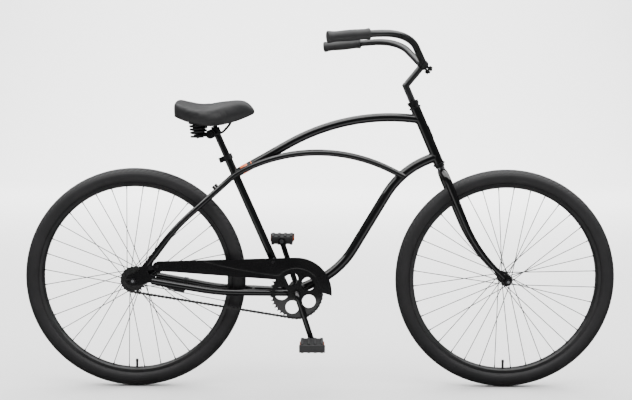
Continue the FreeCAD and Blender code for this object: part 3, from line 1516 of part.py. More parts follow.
keep(group("brake_arm_set", brake_arm, brake_clip, brake_bolt), "coaster_brake_arm")


# fork, headset races, stem and handlebar

def in_fork(station, ahead, across):
    return on_steer(-station) + steer_ahead * ahead + left * across


steerer_bore = "dims.quill_radius + dims.fit_gap"
steerer_top = "dims.head_cup_height * 2 + dims.head_tube_length + dims.top_cone_height + dims.locknut_height"
steerer_outside = cylinder(
    "steerer_outside", "dims.steerer_radius", f"{steerer_top} + dims.fork_crown_station",
    on_steer(-d.fork_crown_station), steer_up
)
steerer_inside = cylinder(
    "steerer_inside", steerer_bore, f"{steerer_top} + dims.fork_crown_station + dims.cut_overrun * 2",
    on_steer(-d.fork_crown_station - d.cut_overrun), steer_up
)
keep(cut("steerer", steerer_outside, steerer_inside), "fork_steerer")

# each blade turns down from the crown and sweeps forward to the front axle
blade_knee_station = d.fork_length - (d.fork_rake + d.fork_blade_set) / math.tan(
    math.radians(d.fork_tip_angle)
)
blades = []
fork_ends = []
fork_end_corner = f"dims.fork_end_radius * {fork_end_corner_share}"
for side_name, side in sides:
    end_line = Vector(0, 0, 0) + steer_up * -math.cos(math.radians(d.fork_tip_angle))
    end_line += steer_ahead * math.sin(math.radians(d.fork_tip_angle))
    across = side * d.fork_blade_half_width
    axle_point = in_fork(d.fork_length, d.fork_rake, across)
    blade_points = [
        in_fork(d.fork_crown_station, 0, 0),
        in_fork(d.fork_crown_station, 0, across),
        in_fork(blade_knee_station, -d.fork_blade_set, across),
        axle_point - end_line * (d.fork_end_reach / 2),
    ]
    knee_setback = fork_knee_share * (blade_points[3] - blade_points[2]).Length
    blade_edges = rounded_path(blade_points, [d.fork_shoulder_radius, knee_setback])
    blade = swept(f"blade_{side_name}", blade_edges, "dims.fork_blade_radius", "dims.fork_tip_radius")
    plate_place = aside(axle_point, side * (d.front_opening_half + d.fork_end_thickness / 2))
    end_plate = padded(
        f"fork_end_plate_{side_name}",
        [
            ("-dims.fork_end_reach", f"-dims.fork_end_radius * {fork_end_neck_share}"),
            ("0", "-dims.fork_end_radius"),
            (fork_end_corner, f"-{fork_end_corner}"),
            ("dims.fork_end_radius", "-(dims.axle_radius + dims.fit_gap)"),
            ("0", "-(dims.axle_radius + dims.fit_gap)"),
            ("-(dims.axle_radius + dims.fit_gap)", "-(dims.axle_radius + dims.fit_gap)"),
            ("-(dims.axle_radius + dims.fit_gap)", "dims.axle_radius + dims.fit_gap"),
            ("dims.fork_end_radius", "dims.axle_radius + dims.fit_gap"),
            (fork_end_corner, fork_end_corner),
            ("0", "dims.fork_end_radius"),
            ("-dims.fork_end_reach", f"dims.fork_end_radius * {fork_end_neck_share}"),
        ],
        "dims.fork_end_thickness",
        Placement(plate_place, Rotation(end_line, Vector(-end_line.z, 0, end_line.x), -left, "XYZ"))
    )
    fork_ends.append(end_plate)
    other = "dims.steerer_radius"
    blades.append(cut(f"fork_blade_{side_name}", blade, steerer_outside, end_plate))
half_blades = []
for (side_name, side), blade in zip(sides, blades):
    half_space = box(
        f"blade_half_{side_name}", "dims.fork_length", "dims.fork_blade_half_width * 2",
        "dims.fork_length * 2",
        Placement(
            in_fork(d.fork_crown_station, 0, 0) + Vector(-d.fork_length / 2, 0, -d.fork_length * 1.5)
            - left * (d.fork_blade_half_width * 2 if side > 0 else 0), Rotation()
        )
    )
    half_blades.append(cut(f"blade_{side_name}_half", blade, half_space))
keep(group("blade_pair", *half_blades), "fork_blades")
keep(group("fork_end_pair", *fork_ends), "fork_ends")

race_bore = "dims.steerer_radius + dims.fit_gap"
crown_race = turned(
    "crown_race",
    [
        (race_bore, "0"), ("dims.crown_race_radius + dims.bearing_gap * 2", "0"),
        ("dims.crown_race_radius", "dims.crown_race_height"), (race_bore, "dims.crown_race_height"),
    ],
    facing(on_steer(-d.bearing_gap - d.crown_race_height), steer_up)
)
top_cone = turned(
    "top_cone",
    ring_outline(race_bore, "dims.top_cone_radius", "0", "dims.top_cone_height - dims.bearing_gap"),
    facing(on_steer(head_top + d.bearing_gap), steer_up)
)
locknut_hex = bound(
    "Part::Prism", "locknut_hex", Circumradius="dims.locknut_flats / 2 / cos(30)",
    Height="dims.locknut_height"
)
locknut_hex.Placement = facing(on_steer(head_top + d.top_cone_height), steer_up)
locknut_bore = cylinder(
    "locknut_bore", race_bore, "dims.locknut_height + dims.cut_overrun * 2",
    on_steer(head_top + d.top_cone_height - d.cut_overrun), steer_up
)
keep(group("race_set", crown_race, top_cone, cut("locknut", locknut_hex, locknut_bore)), "headset_races")

# quill stem with a split clamp for the handlebar
quill_foot = on_steer(head_top + d.top_cone_height + d.locknut_height - d.quill_insertion)
stem_corner = on_steer(d.stem_corner_station)
extension_line = heading(d.stem_extension_angle)
bar_place = stem_corner + extension_line * d.stem_extension
stem_bar = swept(
    "stem_bar",
    [Part.LineSegment(quill_foot, stem_corner).toShape(), Part.LineSegment(stem_corner, bar_place).toShape()],
    "dims.quill_radius"
)
clamp_start = bar_place - left * d.stem_clamp_half_width
clamp_ring = cylinder(
    "clamp_ring", "dims.stem_clamp_radius", "dims.stem_clamp_half_width * 2", clamp_start, left
)
ear_line = heading(d.stem_extension_angle - right_angle)
ear_frame = Rotation(ear_line, left, Vector(-ear_line.z, 0, ear_line.x), "XYZ")
ear_up = Vector(-ear_line.z, 0, ear_line.x)
ear_half_width = d.stem_clamp_half_width * stem_ear_share
stem_ears = box(
    "stem_ears", "dims.stem_ear_reach", f"dims.stem_clamp_half_width * 2 * {stem_ear_share}",
    "dims.stem_ear_half_thickness * 2",
    Placement(bar_place - left * ear_half_width - ear_up * d.stem_ear_half_thickness, ear_frame)
)
bar_hole = cylinder(
    "bar_hole", "dims.bar_radius + dims.fit_gap", "(dims.stem_clamp_half_width + dims.cut_overrun) * 2",
    clamp_start - left * d.cut_overrun, left
)
stem_slot = box(
    "stem_slot", "dims.stem_ear_reach + dims.cut_overrun",
    "(dims.stem_clamp_half_width + dims.cut_overrun) * 2",
    "dims.stem_slot",
    Placement(
        bar_place - left * (d.stem_clamp_half_width + d.cut_overrun) - ear_up * (d.stem_slot / 2), ear_frame
    )
)
ear_bolt_place = bar_place + ear_line * ((d.stem_ear_reach + d.stem_clamp_radius) / 2)
ear_hole = cylinder(
    "ear_hole", "dims.stem_bolt_radius + dims.fit_gap",
    "(dims.stem_ear_half_thickness + dims.cut_overrun) * 2",
    ear_bolt_place - ear_up * (d.stem_ear_half_thickness + d.cut_overrun), ear_up
)
quill_bore_start = quill_foot - steer_up * d.cut_overrun
quill_bore = cylinder(
    "quill_bore", "dims.quill_bore_radius",
    str((stem_corner - quill_foot).Length + d.quill_radius * 4 + d.cut_overrun), quill_bore_start, steer_up
)
stem_blank = fuse("stem_blank", stem_bar, clamp_ring, stem_ears)
keep(cut("quill_stem", stem_blank, bar_hole, stem_slot, ear_hole, quill_bore), "stem")

wedge_radius = "dims.quill_radius"
wedge = turned(
    "wedge", ring_outline("dims.quill_bore_radius", wedge_radius, "-dims.stem_wedge_length", "0"),
    facing(quill_foot, steer_up)
)
keep(wedge, "stem_wedge")
expander_length = (stem_corner - quill_foot).Length + d.stem_wedge_length + d.quill_radius
expander_shank = cylinder(
    "expander_shank", "dims.quill_bore_radius - dims.fit_gap", str(expander_length),
    quill_foot - steer_up * d.stem_wedge_length, steer_up
)
clamp_bolt_head = cylinder(
    "stem_bolt_head", "dims.stem_bolt_head_radius", "dims.stem_bolt_head_height",
    ear_bolt_place - ear_up * d.stem_ear_half_thickness, -ear_up
)
clamp_bolt_shank = cylinder(
    "stem_bolt_shank", "dims.stem_bolt_radius",
    "dims.stem_ear_half_thickness * 2 + dims.stem_bolt_head_height",
    ear_bolt_place - ear_up * d.stem_ear_half_thickness, ear_up
)
clamp_bolt_nut = cylinder(
    "stem_bolt_nut", "dims.stem_bolt_head_radius", "dims.stem_bolt_head_height",
    ear_bolt_place + ear_up * d.stem_ear_half_thickness, ear_up
)
keep(
    group(
        "stem_bolt_set", expander_shank, fuse("ear_bolt", clamp_bolt_head, clamp_bolt_shank, clamp_bolt_nut)
    ),
    "stem_bolts"
)

# handlebar: out of the clamp, up and round to the swept back grips
half_bar = [
    bar_place + left * d.bar_centre_half_width,
    bar_place + Vector(-d.bar_shoulder_back, d.bar_shoulder_half_width, d.bar_rise),
    bar_place + Vector(-d.bar_grip_front_back, d.bar_grip_front_half_width, d.bar_rise - d.bar_grip_drop),
    bar_place + Vector(-d.bar_end_back, d.bar_end_half_width, d.bar_rise - d.bar_end_drop),
]
mirrored_bar = [Vector(point.x, -point.y, point.z) for point in reversed(half_bar)]
bar_points = mirrored_bar + half_bar
bar_bend_shares = [0.12, 0.75, 0.2, 0.2, 0.75, 0.12]
bar_edges = rounded_path(bar_points, share_setbacks(bar_points, bar_bend_shares))
bar_outside, bar_inside = tube("bar", bar_edges, "dims.bar_radius", "dims.bar_wall")
keep(cut("handlebar", bar_outside, bar_inside), "handlebar")

grip_bore = "dims.bar_radius + dims.fit_gap"
bar_room = swept("bar_room", bar_edges, grip_bore)
grip_outline = [
    ("0", "-dims.grip_length"), ("dims.grip_flange_radius", "-dims.grip_length"),
    ("dims.grip_flange_radius", "-dims.grip_length + dims.grip_flange_width"),
    ("dims.grip_radius", "-dims.grip_length + dims.grip_flange_width * 2"),
    (
        f"dims.grip_radius + dims.grip_flange_width * {grip_swell_share}",
        f"-dims.grip_length * {grip_swell_place_share}"
    ),
    ("dims.grip_radius", f"-dims.grip_flange_width * {grip_flare_ratio}"),
    ("dims.grip_flange_radius", "0"), ("dims.grip_flange_radius", "dims.grip_end_thickness"),
    ("0", "dims.grip_end_thickness"),
]
for side_name, side in sides:
    bar_end = Vector(half_bar[-1].x, side * half_bar[-1].y, half_bar[-1].z)
    grip_front = Vector(half_bar[-2].x, side * half_bar[-2].y, half_bar[-2].z)
    sleeve = turned(f"grip_{side_name}_sleeve", grip_outline, facing(bar_end, bar_end - grip_front))
    keep(cut(f"grip_{side_name}", sleeve, bar_room), f"grip_{side_name}")


# seat post and saddle

post_outside = cylinder(
    "post_outside", "dims.seat_post_radius",
    "dims.seat_post_top_station - dims.seat_tube_top_station + dims.seat_post_insertion",
    on_post(d.seat_tube_top_station - d.seat_post_insertion), post_up
)
post_inside = cylinder(
    "post_inside", "dims.seat_post_radius - dims.seat_post_wall",
    "dims.seat_post_top_station - dims.seat_tube_top_station + dims.seat_post_insertion",
    on_post(d.seat_tube_top_station - d.seat_post_insertion), post_up
)
keep(cut("post", post_outside, post_inside), "seat_post")

# clamp on the post with an eye behind it that carries the saddle bolt
saddle_bolt_place = on_post(d.saddle_bolt_station) - post_ahead * d.saddle_bolt_back
clamp_foot = on_post(d.saddle_bolt_station - d.saddle_clamp_height / 2)
band = cylinder(
    "clamp_band", "dims.seat_post_radius + dims.saddle_clamp_wall", "dims.saddle_clamp_height", clamp_foot,
    post_up
)
eye = cylinder(
    "clamp_eye", "dims.saddle_clamp_eye_radius", "dims.saddle_clamp_half_width * 2",
    saddle_bolt_place - left * d.saddle_clamp_half_width, left
)
band_bore = cylinder(
    "band_bore", "dims.seat_post_radius + dims.fit_gap", "dims.saddle_clamp_height * 2",
    clamp_foot - post_up * (d.saddle_clamp_height / 2), post_up
)
eye_bore = cylinder(
    "eye_bore", "dims.saddle_bolt_radius + dims.fit_gap",
    "dims.saddle_clamp_half_width * 2 + dims.cut_overrun * 2",
    saddle_bolt_place - left * (d.saddle_clamp_half_width + d.cut_overrun), left
)
post_clamp = cut("post_clamp", fuse("post_clamp_blank", band, eye), band_bore, eye_bore)
rail_side = d.saddle_clamp_half_width + d.bearing_gap + d.saddle_cup_thickness + d.saddle_rail_radius
cup_outer = rail_side + d.saddle_rail_radius + d.saddle_cup_thickness
bolt_half = cup_outer + d.bearing_gap
saddle_bolt = fuse(
    "saddle_bolt",
    cylinder(
        "saddle_bolt_shank", "dims.saddle_bolt_radius", str(2 * bolt_half),
        saddle_bolt_place - left * bolt_half, left
    ),
    cylinder(
        "saddle_bolt_head", f"dims.saddle_bolt_radius * {bolt_head_ratio}", "dims.saddle_bolt_radius",
        saddle_bolt_place - left * bolt_half,
        -left
    ),
    cylinder(
        "saddle_bolt_nut", f"dims.saddle_bolt_radius * {bolt_head_ratio}", "dims.saddle_bolt_radius",
        saddle_bolt_place + left * bolt_half,
        left
    ),
)
keep(group("saddle_clamp_set", post_clamp, saddle_bolt), "saddle_clamp")

# saddle cover: a crowned cushion lofted from the rear edge to the nose
saddle_rear = saddle_bolt_place.x - d.saddle_rear_overhang
skirt_level = saddle_bolt_place.z + d.saddle_skirt_rise
# each row: place along the length, half width, top, edge and bottom, as shares of the saddle's three sizes
saddle_section_shares = [
    (0.0, 0.7, 0.92, 0.79, 0.33),
    (0.05, 0.89, 0.985, 0.84, 0.285),
    (0.14, 1.0, 0.95, 0.77, 0.175),
    (0.28, 0.97, 0.86, 0.66, 0.04),
    (0.42, 0.76, 0.84, 0.62, -0.05),
    (0.56, 0.5, 0.91, 0.69, -0.02),
    (0.7, 0.34, 0.97, 0.78, 0.085),
    (0.84, 0.27, 0.99, 0.81, 0.25),
    (0.94, 0.2, 0.85, 0.72, 0.39),
    (1.0, 0.1, 0.6, 0.555, 0.5),
]
side_draw_share = 0.86
edge_draw_share = 0.93


def saddle_section(along, half_width, top, edge, bottom):
    x = saddle_rear + along * d.saddle_length
    half = half_width * d.saddle_width / 2
    top_z = skirt_level + top * d.saddle_height
    edge_z = skirt_level + edge * d.saddle_height
    bottom_z = skirt_level + bottom * d.saddle_height
    low = half * side_draw_share
    high = half * edge_draw_share
    middle_z = (edge_z + bottom_z) / 2
    return Part.Wire([
        Part.LineSegment(Vector(x, -low, bottom_z), Vector(x, low, bottom_z)).toShape(),
        Part.Arc(Vector(x, low, bottom_z), Vector(x, half, middle_z), Vector(x, high, edge_z)).toShape(),
        Part.Arc(Vector(x, high, edge_z), Vector(x, 0, top_z), Vector(x, -high, edge_z)).toShape(),
        Part.Arc(Vector(x, -high, edge_z), Vector(x, -half, middle_z), Vector(x, -low, bottom_z)).toShape(),
    ])


cushion = solid(
    "cushion", Part.makeLoft([saddle_section(*row) for row in saddle_section_shares], True, False)
)

# the skirt hides a flat base in a pocket under the cushion
pocket_shares = [(0.13, 0.55), (0.2, 0.73), (0.34, 0.72), (0.45, 0.5), (0.56, 0.31), (0.74, 0.14)]


def pocket_outline(height_offset):
    rows = [(along, width) for along, width in pocket_shares]
    rows += [(along, -width) for along, width in reversed(pocket_shares)]
    corners = [
        Vector(saddle_rear + along * d.saddle_length, width * d.saddle_width / 2, height_offset) for along,
        width in rows
    ]
    return Part.Face(Part.makePolygon(corners + corners[:1]))


base_under = skirt_level + d.saddle_pocket_depth - d.saddle_base_thickness
pocket_room = solid(
    "pocket_room",
    pocket_outline(skirt_level - d.saddle_height).extrude(up * (d.saddle_height + d.saddle_pocket_depth))
)
keep(cut("saddle_cushion", cushion, pocket_room), "saddle_cover")
base_plate = solid("base_plate", pocket_outline(base_under).extrude(up * d.saddle_base_thickness))
keep(base_plate, "saddle_base")


# saddle springs: each is one unbroken cone-shaped coil with upright ends

def biarc(start, start_line, end, end_line):
    # two tangent arcs from one point and direction to another
    gap = end - start
    total = start_line + end_line
    bend_part = 2 * (1 - start_line.dot(end_line))
    reach = (-gap.dot(total) + math.sqrt(gap.dot(total)**2 + bend_part * gap.dot(gap))) / bend_part
    first = start + start_line * reach
    second = end - end_line * reach
    joint = (first + second) * 0.5
    arcs = []
    for one, knee, two in ((start, first, joint), (joint, second, end)):
        arcs.append(Part.Arc(*bend(one, knee, two, (knee - one).Length)).toShape())
    return arcs


spring_place = Vector(saddle_bolt_place.x - d.spring_back, 0, 0)
spring_seat_top = saddle_bolt_place.z - d.spring_foot_drop
stub = 2 * d.spring_wire_radius
coil_low = spring_seat_top + stub
coil_high = base_under - stub
quarter_turns = int(d.spring_turns * 4)


def coil_point(turn, middle):
    share = turn / quarter_turns
    radius = d.spring_foot_radius + (d.spring_head_radius - d.spring_foot_radius) * share
    angle = math.radians(right_angle * turn)
    rise = coil_low + (coil_high - coil_low) * share
    return Vector(middle.x + radius * math.cos(angle), middle.y + radius * math.sin(angle), rise)


def coil_line(turn, middle):
    step = 0.01
    return (coil_point(turn + step, middle) - coil_point(turn - step, middle)).normalize()


def spring_edges(middle):
    edges = []
    for turn in range(quarter_turns):
        start = coil_point(turn, middle)
        end = coil_point(turn + 1, middle)
        edges += biarc(start, coil_line(turn, middle), end, coil_line(turn + 1, middle))
    return edges


def least_gap(edges):
    # least distance between turns of the coil that are not neighbours, less the wire
    per_edge = 6
    points = []
    for edge in edges:
        points += edge.discretize(per_edge)[:-1]
    apart = int(len(points) / d.spring_turns * 0.5)
    gaps = []
    for index, point in enumerate(points):
        gaps += [(point - other).Length for other in points[index + apart:]]
    return min(gaps) - 2 * d.spring_wire_radius


springs = []
for side_name, side in sides:
    middle = aside(spring_place, side * d.spring_half_spacing)
    edges = spring_edges(middle)
    start = edges[0].valueAt(edges[0].FirstParameter)
    wire = Part.Wire(edges)
    ring = Part.Wire(Part.makeCircle(d.spring_wire_radius, start, coil_line(0, middle)))
    coil = wire.makePipeShell([ring], True, False)
    ends = []
    coil_ends = ((coil_point(0, middle), spring_seat_top), (coil_point(quarter_turns, middle), base_under))
    for spot, seat in coil_ends:
        ends.append(Part.makeSphere(d.spring_wire_radius, spot))
        foot = Vector(spot.x, spot.y, min(spot.z, seat))
        ends.append(Part.makeCylinder(d.spring_wire_radius, abs(seat - spot.z), foot, up))
    springs.append(coil.fuse(ends).removeSplitter())
    print("spring", side_name, "least gap between turns", round(least_gap(edges), 2))
keep(solid("spring_pair", Part.Compound(springs)), "saddle_springs")

# rails: from the nose of the base down to the clamp and back to the spring seats
rail_level = saddle_bolt_place.z
rail_nose = Vector(
    saddle_rear + d.saddle_length * pocket_shares[-1][0] - d.saddle_rail_radius * 3, 0, base_under
)
rail_dip = rail_nose - up * (d.saddle_rail_drop / 2) - forward * (d.saddle_rail_drop / 4)
seat_under = spring_seat_top - d.spring_seat_thickness - d.saddle_rail_radius
rails = []
for side_name, side in sides:
    spring_seat = Vector(spring_place.x, side * d.spring_half_spacing, seat_under)
    rail_points = [
        aside(rail_nose, side * d.saddle_nose_half_width),
        aside(rail_dip, side * d.saddle_nose_half_width),
        Vector(saddle_bolt_place.x + d.saddle_rail_run, side * rail_side, rail_level),
        Vector(saddle_bolt_place.x - d.saddle_cup_radius, side * rail_side, rail_level),
        spring_seat,
    ]
    rail_bend_shares = [0.45, 0.45, 0.4]
    rail = swept(
        f"rail_{side_name}", rounded_path(rail_points, share_setbacks(rail_points, rail_bend_shares)),
        "dims.saddle_rail_radius"
    )
    seat_disc = cylinder(
        f"spring_seat_{side_name}", "dims.spring_foot_radius + dims.spring_wire_radius",
        "dims.spring_seat_thickness + dims.saddle_rail_radius",
        spring_seat,
        up
    )
    inner_cup = d.saddle_clamp_half_width + d.bearing_gap
    cups = []
    outer_cup = rail_side + d.saddle_rail_radius - d.saddle_cup_bite
    for name, start in (("inner", inner_cup), ("outer", outer_cup)):
        cups.append(cylinder(
            f"cup_{name}_{side_name}", "dims.saddle_cup_radius",
            "dims.saddle_cup_thickness + dims.saddle_cup_bite", aside(saddle_bolt_place, side * start),
            left * side
        ))
    cup_bridge = cylinder(
        f"cup_bridge_{side_name}", f"dims.saddle_cup_radius * {cup_bridge_share}",
        "dims.saddle_rail_radius * 2",
        aside(saddle_bolt_place, side * (rail_side - d.saddle_rail_radius)), left * side
    )
    cup_bore = cylinder(
        f"cup_bore_{side_name}", "dims.saddle_bolt_radius + dims.fit_gap", str(2 * cup_outer),
        aside(saddle_bolt_place, side * (inner_cup - d.cut_overrun)), left * side
    )
    rail_blank = fuse(f"rail_blank_{side_name}", rail, seat_disc, *cups, cup_bridge)
    rails.append(cut(f"rail_set_{side_name}", rail_blank, cup_bore, base_plate))
keep(group("rail_pair", *rails), "saddle_rails")

doc.recompute()
for thing in doc.Objects:
    if "Invalid" in thing.State or "Error" in thing.State:
        raise RuntimeError(f"{thing.Name} did not recompute: {thing.State}")
for thing in sub_parts:
    if thing.Shape.isNull() or not thing.Shape.isValid():
        raise RuntimeError(f"{thing.Label} has no valid shape")
for thing in sub_parts:
    thing.Shape.exportStep(f"parts/{thing.Label}.step")
print(len(sub_parts), "sub-parts written")
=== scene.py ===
import json
import math

import bpy
from mathutils import Euler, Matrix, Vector


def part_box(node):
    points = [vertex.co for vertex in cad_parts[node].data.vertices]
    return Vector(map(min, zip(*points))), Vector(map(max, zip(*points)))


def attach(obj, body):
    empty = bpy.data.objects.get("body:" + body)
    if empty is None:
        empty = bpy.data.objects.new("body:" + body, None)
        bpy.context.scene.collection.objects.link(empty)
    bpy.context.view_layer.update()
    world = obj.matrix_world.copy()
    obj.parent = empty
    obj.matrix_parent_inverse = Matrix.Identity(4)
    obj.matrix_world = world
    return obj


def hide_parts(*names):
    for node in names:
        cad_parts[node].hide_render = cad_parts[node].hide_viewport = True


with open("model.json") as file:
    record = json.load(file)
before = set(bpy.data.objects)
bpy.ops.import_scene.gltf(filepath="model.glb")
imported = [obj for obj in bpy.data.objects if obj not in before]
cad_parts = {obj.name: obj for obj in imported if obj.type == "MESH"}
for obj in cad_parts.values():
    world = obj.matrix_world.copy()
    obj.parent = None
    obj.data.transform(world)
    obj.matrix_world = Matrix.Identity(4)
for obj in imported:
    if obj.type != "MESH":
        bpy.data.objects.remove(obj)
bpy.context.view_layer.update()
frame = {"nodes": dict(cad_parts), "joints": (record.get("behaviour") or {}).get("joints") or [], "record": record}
nodes = frame["nodes"]
jointPlace = {joint["name"]: Vector(joint["pos_m"]) for joint in frame["joints"] if "pos_m" in joint}
jointAxis = {joint["name"]: Vector(joint["axis"]) for joint in frame["joints"]}
mm = 0.001  # piece dictionaries are in millimetres, camera, studio and lights in metres
print("frame loaded:", len(nodes), "CAD nodes")

# camera, at the photograph's place

cameraView = {"place": (-0.0422, -3.5010, 0.9718), "lens": 60.3, "sensor": 36,
              "turn": (math.pi / 2 - 0.0977, -0.0049, -0.0068)}

cameraData = bpy.data.cameras.new("photoCamera")
cameraData.lens = cameraView["lens"]
cameraData.sensor_fit = "HORIZONTAL"
cameraData.sensor_width = cameraView["sensor"]
cameraObject = bpy.data.objects.new("photoCamera", cameraData)
cameraObject.location = cameraView["place"]
cameraObject.rotation_euler = Euler(cameraView["turn"])
bpy.context.scene.collection.objects.link(cameraObject)
bpy.context.scene.camera = cameraObject


def hexColour(code):
    channels = [int(code[i:i + 2], 16) / 255 for i in (1, 3, 5)]
    return tuple(c / 12.92 if c <= 0.04045 else ((c + 0.055) / 1.055) ** 2.4 for c in channels) + (1,)


def newFinish(name, **values):
    material = bpy.data.materials.new(name)
    material.use_nodes = True
    shader = material.node_tree.nodes["Principled BSDF"]
    for socket, value in values.items():
        shader.inputs[socket.replace("_", " ")].default_value = value
    return material, material.node_tree, shader


def addNode(tree, kind, settings=None, feeds=None, **inputs):
    node = tree.nodes.new(kind)
    for name, value in (settings or {}).items():
        setattr(node, name, value)
    for name, value in inputs.items():
        numbered = name[0] == "i" and name[1:].isdigit()  # i0, i1 ... name sockets by number
        socket = node.inputs[int(name[1:]) if numbered else name.replace("_", " ")]
        if isinstance(value, bpy.types.NodeSocket):
            tree.links.new(value, socket)
        else:
            socket.default_value = value
    for target, output in (feeds or {}).items():
        tree.links.new(node.outputs[output], target)
    return node


# finishes

def objectPlace(tree):
    return addNode(tree, "ShaderNodeTexCoord").outputs["Object"]


def noise(tree, place, size, detail, roughness=0.5):
    # size and depth of a texture are in millimetres, here and below
    return addNode(tree, "ShaderNodeTexNoise", Vector=place, Scale=1 / (size * mm), Detail=detail,
                   Roughness=roughness).outputs["Fac"]


def cells(tree, place, size, **settings):
    return addNode(tree, "ShaderNodeTexVoronoi", settings, Vector=place,
                   Scale=1 / (size * mm)).outputs["Distance"]


def tint(tree, shader, factor, stops):
    node = addNode(tree, "ShaderNodeValToRGB", feeds={shader.inputs["Base Color"]: "Color"}, Fac=factor)
    ramp = node.color_ramp
    while len(ramp.elements) < len(stops):
        ramp.elements.new(0.5)
    for element, (place, code) in zip(ramp.elements, stops):
        element.position = place
        element.color = hexColour(code)


def emboss(tree, shader, height, strength, depth, **settings):
    addNode(tree, "ShaderNodeBump", settings, {shader.inputs["Normal"]: "Normal"}, Height=height,
            Strength=strength, Distance=depth * mm)


def varyRoughness(tree, shader, factor, span, rough):
    addNode(tree, "ShaderNodeMapRange", feeds={shader.inputs["Roughness"]: "Result"}, Value=factor,
            From_Min=span[0], From_Max=span[1], To_Min=rough[0], To_Max=rough[1])


# gloss black enamel on steel tube: sprayed and baked, a hard mirror-like coat with slight orange peel
enamel, tree, shader = newFinish("glossBlackEnamel", Base_Color=hexColour("#070708"), IOR=1.45,
                                 Specular_IOR_Level=0.2, Coat_Weight=0.8, Coat_Roughness=0.05, Coat_IOR=1.45)
place = objectPlace(tree)
emboss(tree, shader, noise(tree, place, 6, 2.0), 0.05, 0.2)  # 6 mm orange peel
varyRoughness(tree, shader, noise(tree, place, 90, 4.0), (0.35, 0.7), (0.16, 0.28))  # handling marks

# satin black paint on rims and hubs: powder coat with a fine even grain
satin, tree, shader = newFinish("satinBlackPowderCoat", Base_Color=hexColour("#131314"), Roughness=0.42,
                                IOR=1.5)
place = objectPlace(tree)
emboss(tree, shader, noise(tree, place, 1.2, 1.0), 0.12, 0.1)  # 1.2 mm powder grain
tint(tree, shader, noise(tree, place, 40, 3.0), [(0.35, "#0f0f10"), (0.7, "#19191a")])

# semi-gloss black paint on handlebar and stem: softer than the enamel, rubbed dull by hands
barPaint, tree, shader = newFinish("semiGlossBlackPaint", Base_Color=hexColour("#111112"), IOR=1.5,
                                   Specular_IOR_Level=0.5)
handled = noise(tree, objectPlace(tree), 25, 4.0)
varyRoughness(tree, shader, handled, (0.35, 0.7), (0.27, 0.36))
tint(tree, shader, handled, [(0.35, "#101011"), (0.7, "#171718")])

# black oxide steel on nuts, clamps and headset: blued metal, dull with bright-worn spots
oxide, tree, shader = newFinish("blackOxideSteel", Metallic=0.55, Roughness=0.38)
rub = noise(tree, objectPlace(tree), 9, 5.0, 0.6)
tint(tree, shader, rub, [(0.3, "#121213"), (0.62, "#1c1c1e"), (0.8, "#2b2b2d")])
varyRoughness(tree, shader, rub, (0.3, 0.75), (0.44, 0.3))

# black spoke wire: drawn steel with a thin black coat, slightly uneven in tone
spokeBlack, tree, shader = newFinish("blackSpokeWire", Roughness=0.45, Specular_IOR_Level=0.3)
tint(tree, shader, noise(tree, objectPlace(tree), 14, 3.0), [(0.3, "#0c0c0d"), (0.75, "#161617")])

# turned steel on axles, spindles and cones
steel, tree, shader = newFinish("turnedSteel", Metallic=1.0, Roughness=0.32)
lathe = addNode(tree, "ShaderNodeTexWave", {"bands_direction": "Y"}, Vector=objectPlace(tree),
                Scale=1 / (4 * mm), Distortion=0.6, Detail=2.0).outputs["Fac"]
tint(tree, shader, lathe, [(0.2, "#6f7073"), (0.8, "#8d8e91")])
emboss(tree, shader, lathe, 0.15, 0.05)

# chain steel: dark oiled plates, greyer where the oil is rubbed off
chainSteel, tree, shader = newFinish("oiledChainSteel", Metallic=0.75, Roughness=0.4)
oil = noise(tree, objectPlace(tree), 5, 4.0, 0.65)
tint(tree, shader, oil, [(0.3, "#191919"), (0.6, "#343434"), (0.82, "#515150")])
varyRoughness(tree, shader, oil, (0.3, 0.75), (0.28, 0.55))

# badge plate: satin aluminium, left blank
badgeMetal, tree, shader = newFinish("satinAluminium", Metallic=1.0, Roughness=0.4)
tint(tree, shader, noise(tree, objectPlace(tree), 2, 2.0), [(0.3, "#2d2e30"), (0.7, "#3c3d40")])

# tyre rubber: moulded black compound, matt with a faint bloom, its mould grain drawn coarse to show
tyreRubber, tree, shader = newFinish("mouldedTyreRubber", Roughness=0.62, IOR=1.52, Specular_IOR_Level=0.35)
place = objectPlace(tree)
tint(tree, shader, noise(tree, place, 70, 5.0, 0.6), [(0.3, "#131314"), (0.7, "#1a191b")])
emboss(tree, shader, noise(tree, place, 1.5, 2.0), 0.2, 0.15)

# valve and inner tube: soft butyl rubber
tubeRubber, tree, shader = newFinish("butylRubber", Roughness=0.5, IOR=1.52)
tint(tree, shader, noise(tree, objectPlace(tree), 20, 4.0), [(0.35, "#151516"), (0.75, "#232324")])

# grip rubber: soft moulded compound, charcoal, with fine pimples
gripRubber, tree, shader = newFinish("softGripRubber", Roughness=0.6, IOR=1.5)
place = objectPlace(tree)
emboss(tree, shader, cells(tree, place, 2.4), 0.25, 0.3, invert=True)  # 2.4 mm pimples
tint(tree, shader, noise(tree, place, 30, 3.0), [(0.3, "#161617"), (0.7, "#1f1f20")])

# pedal nylon: glass-filled, moulded, slightly grey with a sparkle grain
pedalNylon, tree, shader = newFinish("mouldedNylon", Roughness=0.55, IOR=1.53)
spark = noise(tree, objectPlace(tree), 1.8, 3.0)
tint(tree, shader, spark, [(0.3, "#161617"), (0.75, "#222223")])
emboss(tree, shader, spark, 0.25, 0.12)

# reflector: amber acrylic with a pattern of 3 mm prisms behind its face; all three amber stops are darkened as
# painted shade, the dim tone of a reflector lying in shade
amber, tree, shader = newFinish("shadeDarkenedAmberAcrylic", Roughness=0.12, IOR=1.49, Coat_Weight=0.5)
prism = cells(tree, objectPlace(tree), 3, distance="MANHATTAN")
# painted shade: these amber stops are darker than the lit acrylic, standing in for the shade on the pedal
tint(tree, shader, prism, [(0.1, "#d07a2c"), (0.6, "#b0470a"), (0.95, "#742703")])
emboss(tree, shader, prism, 0.4, 0.5)

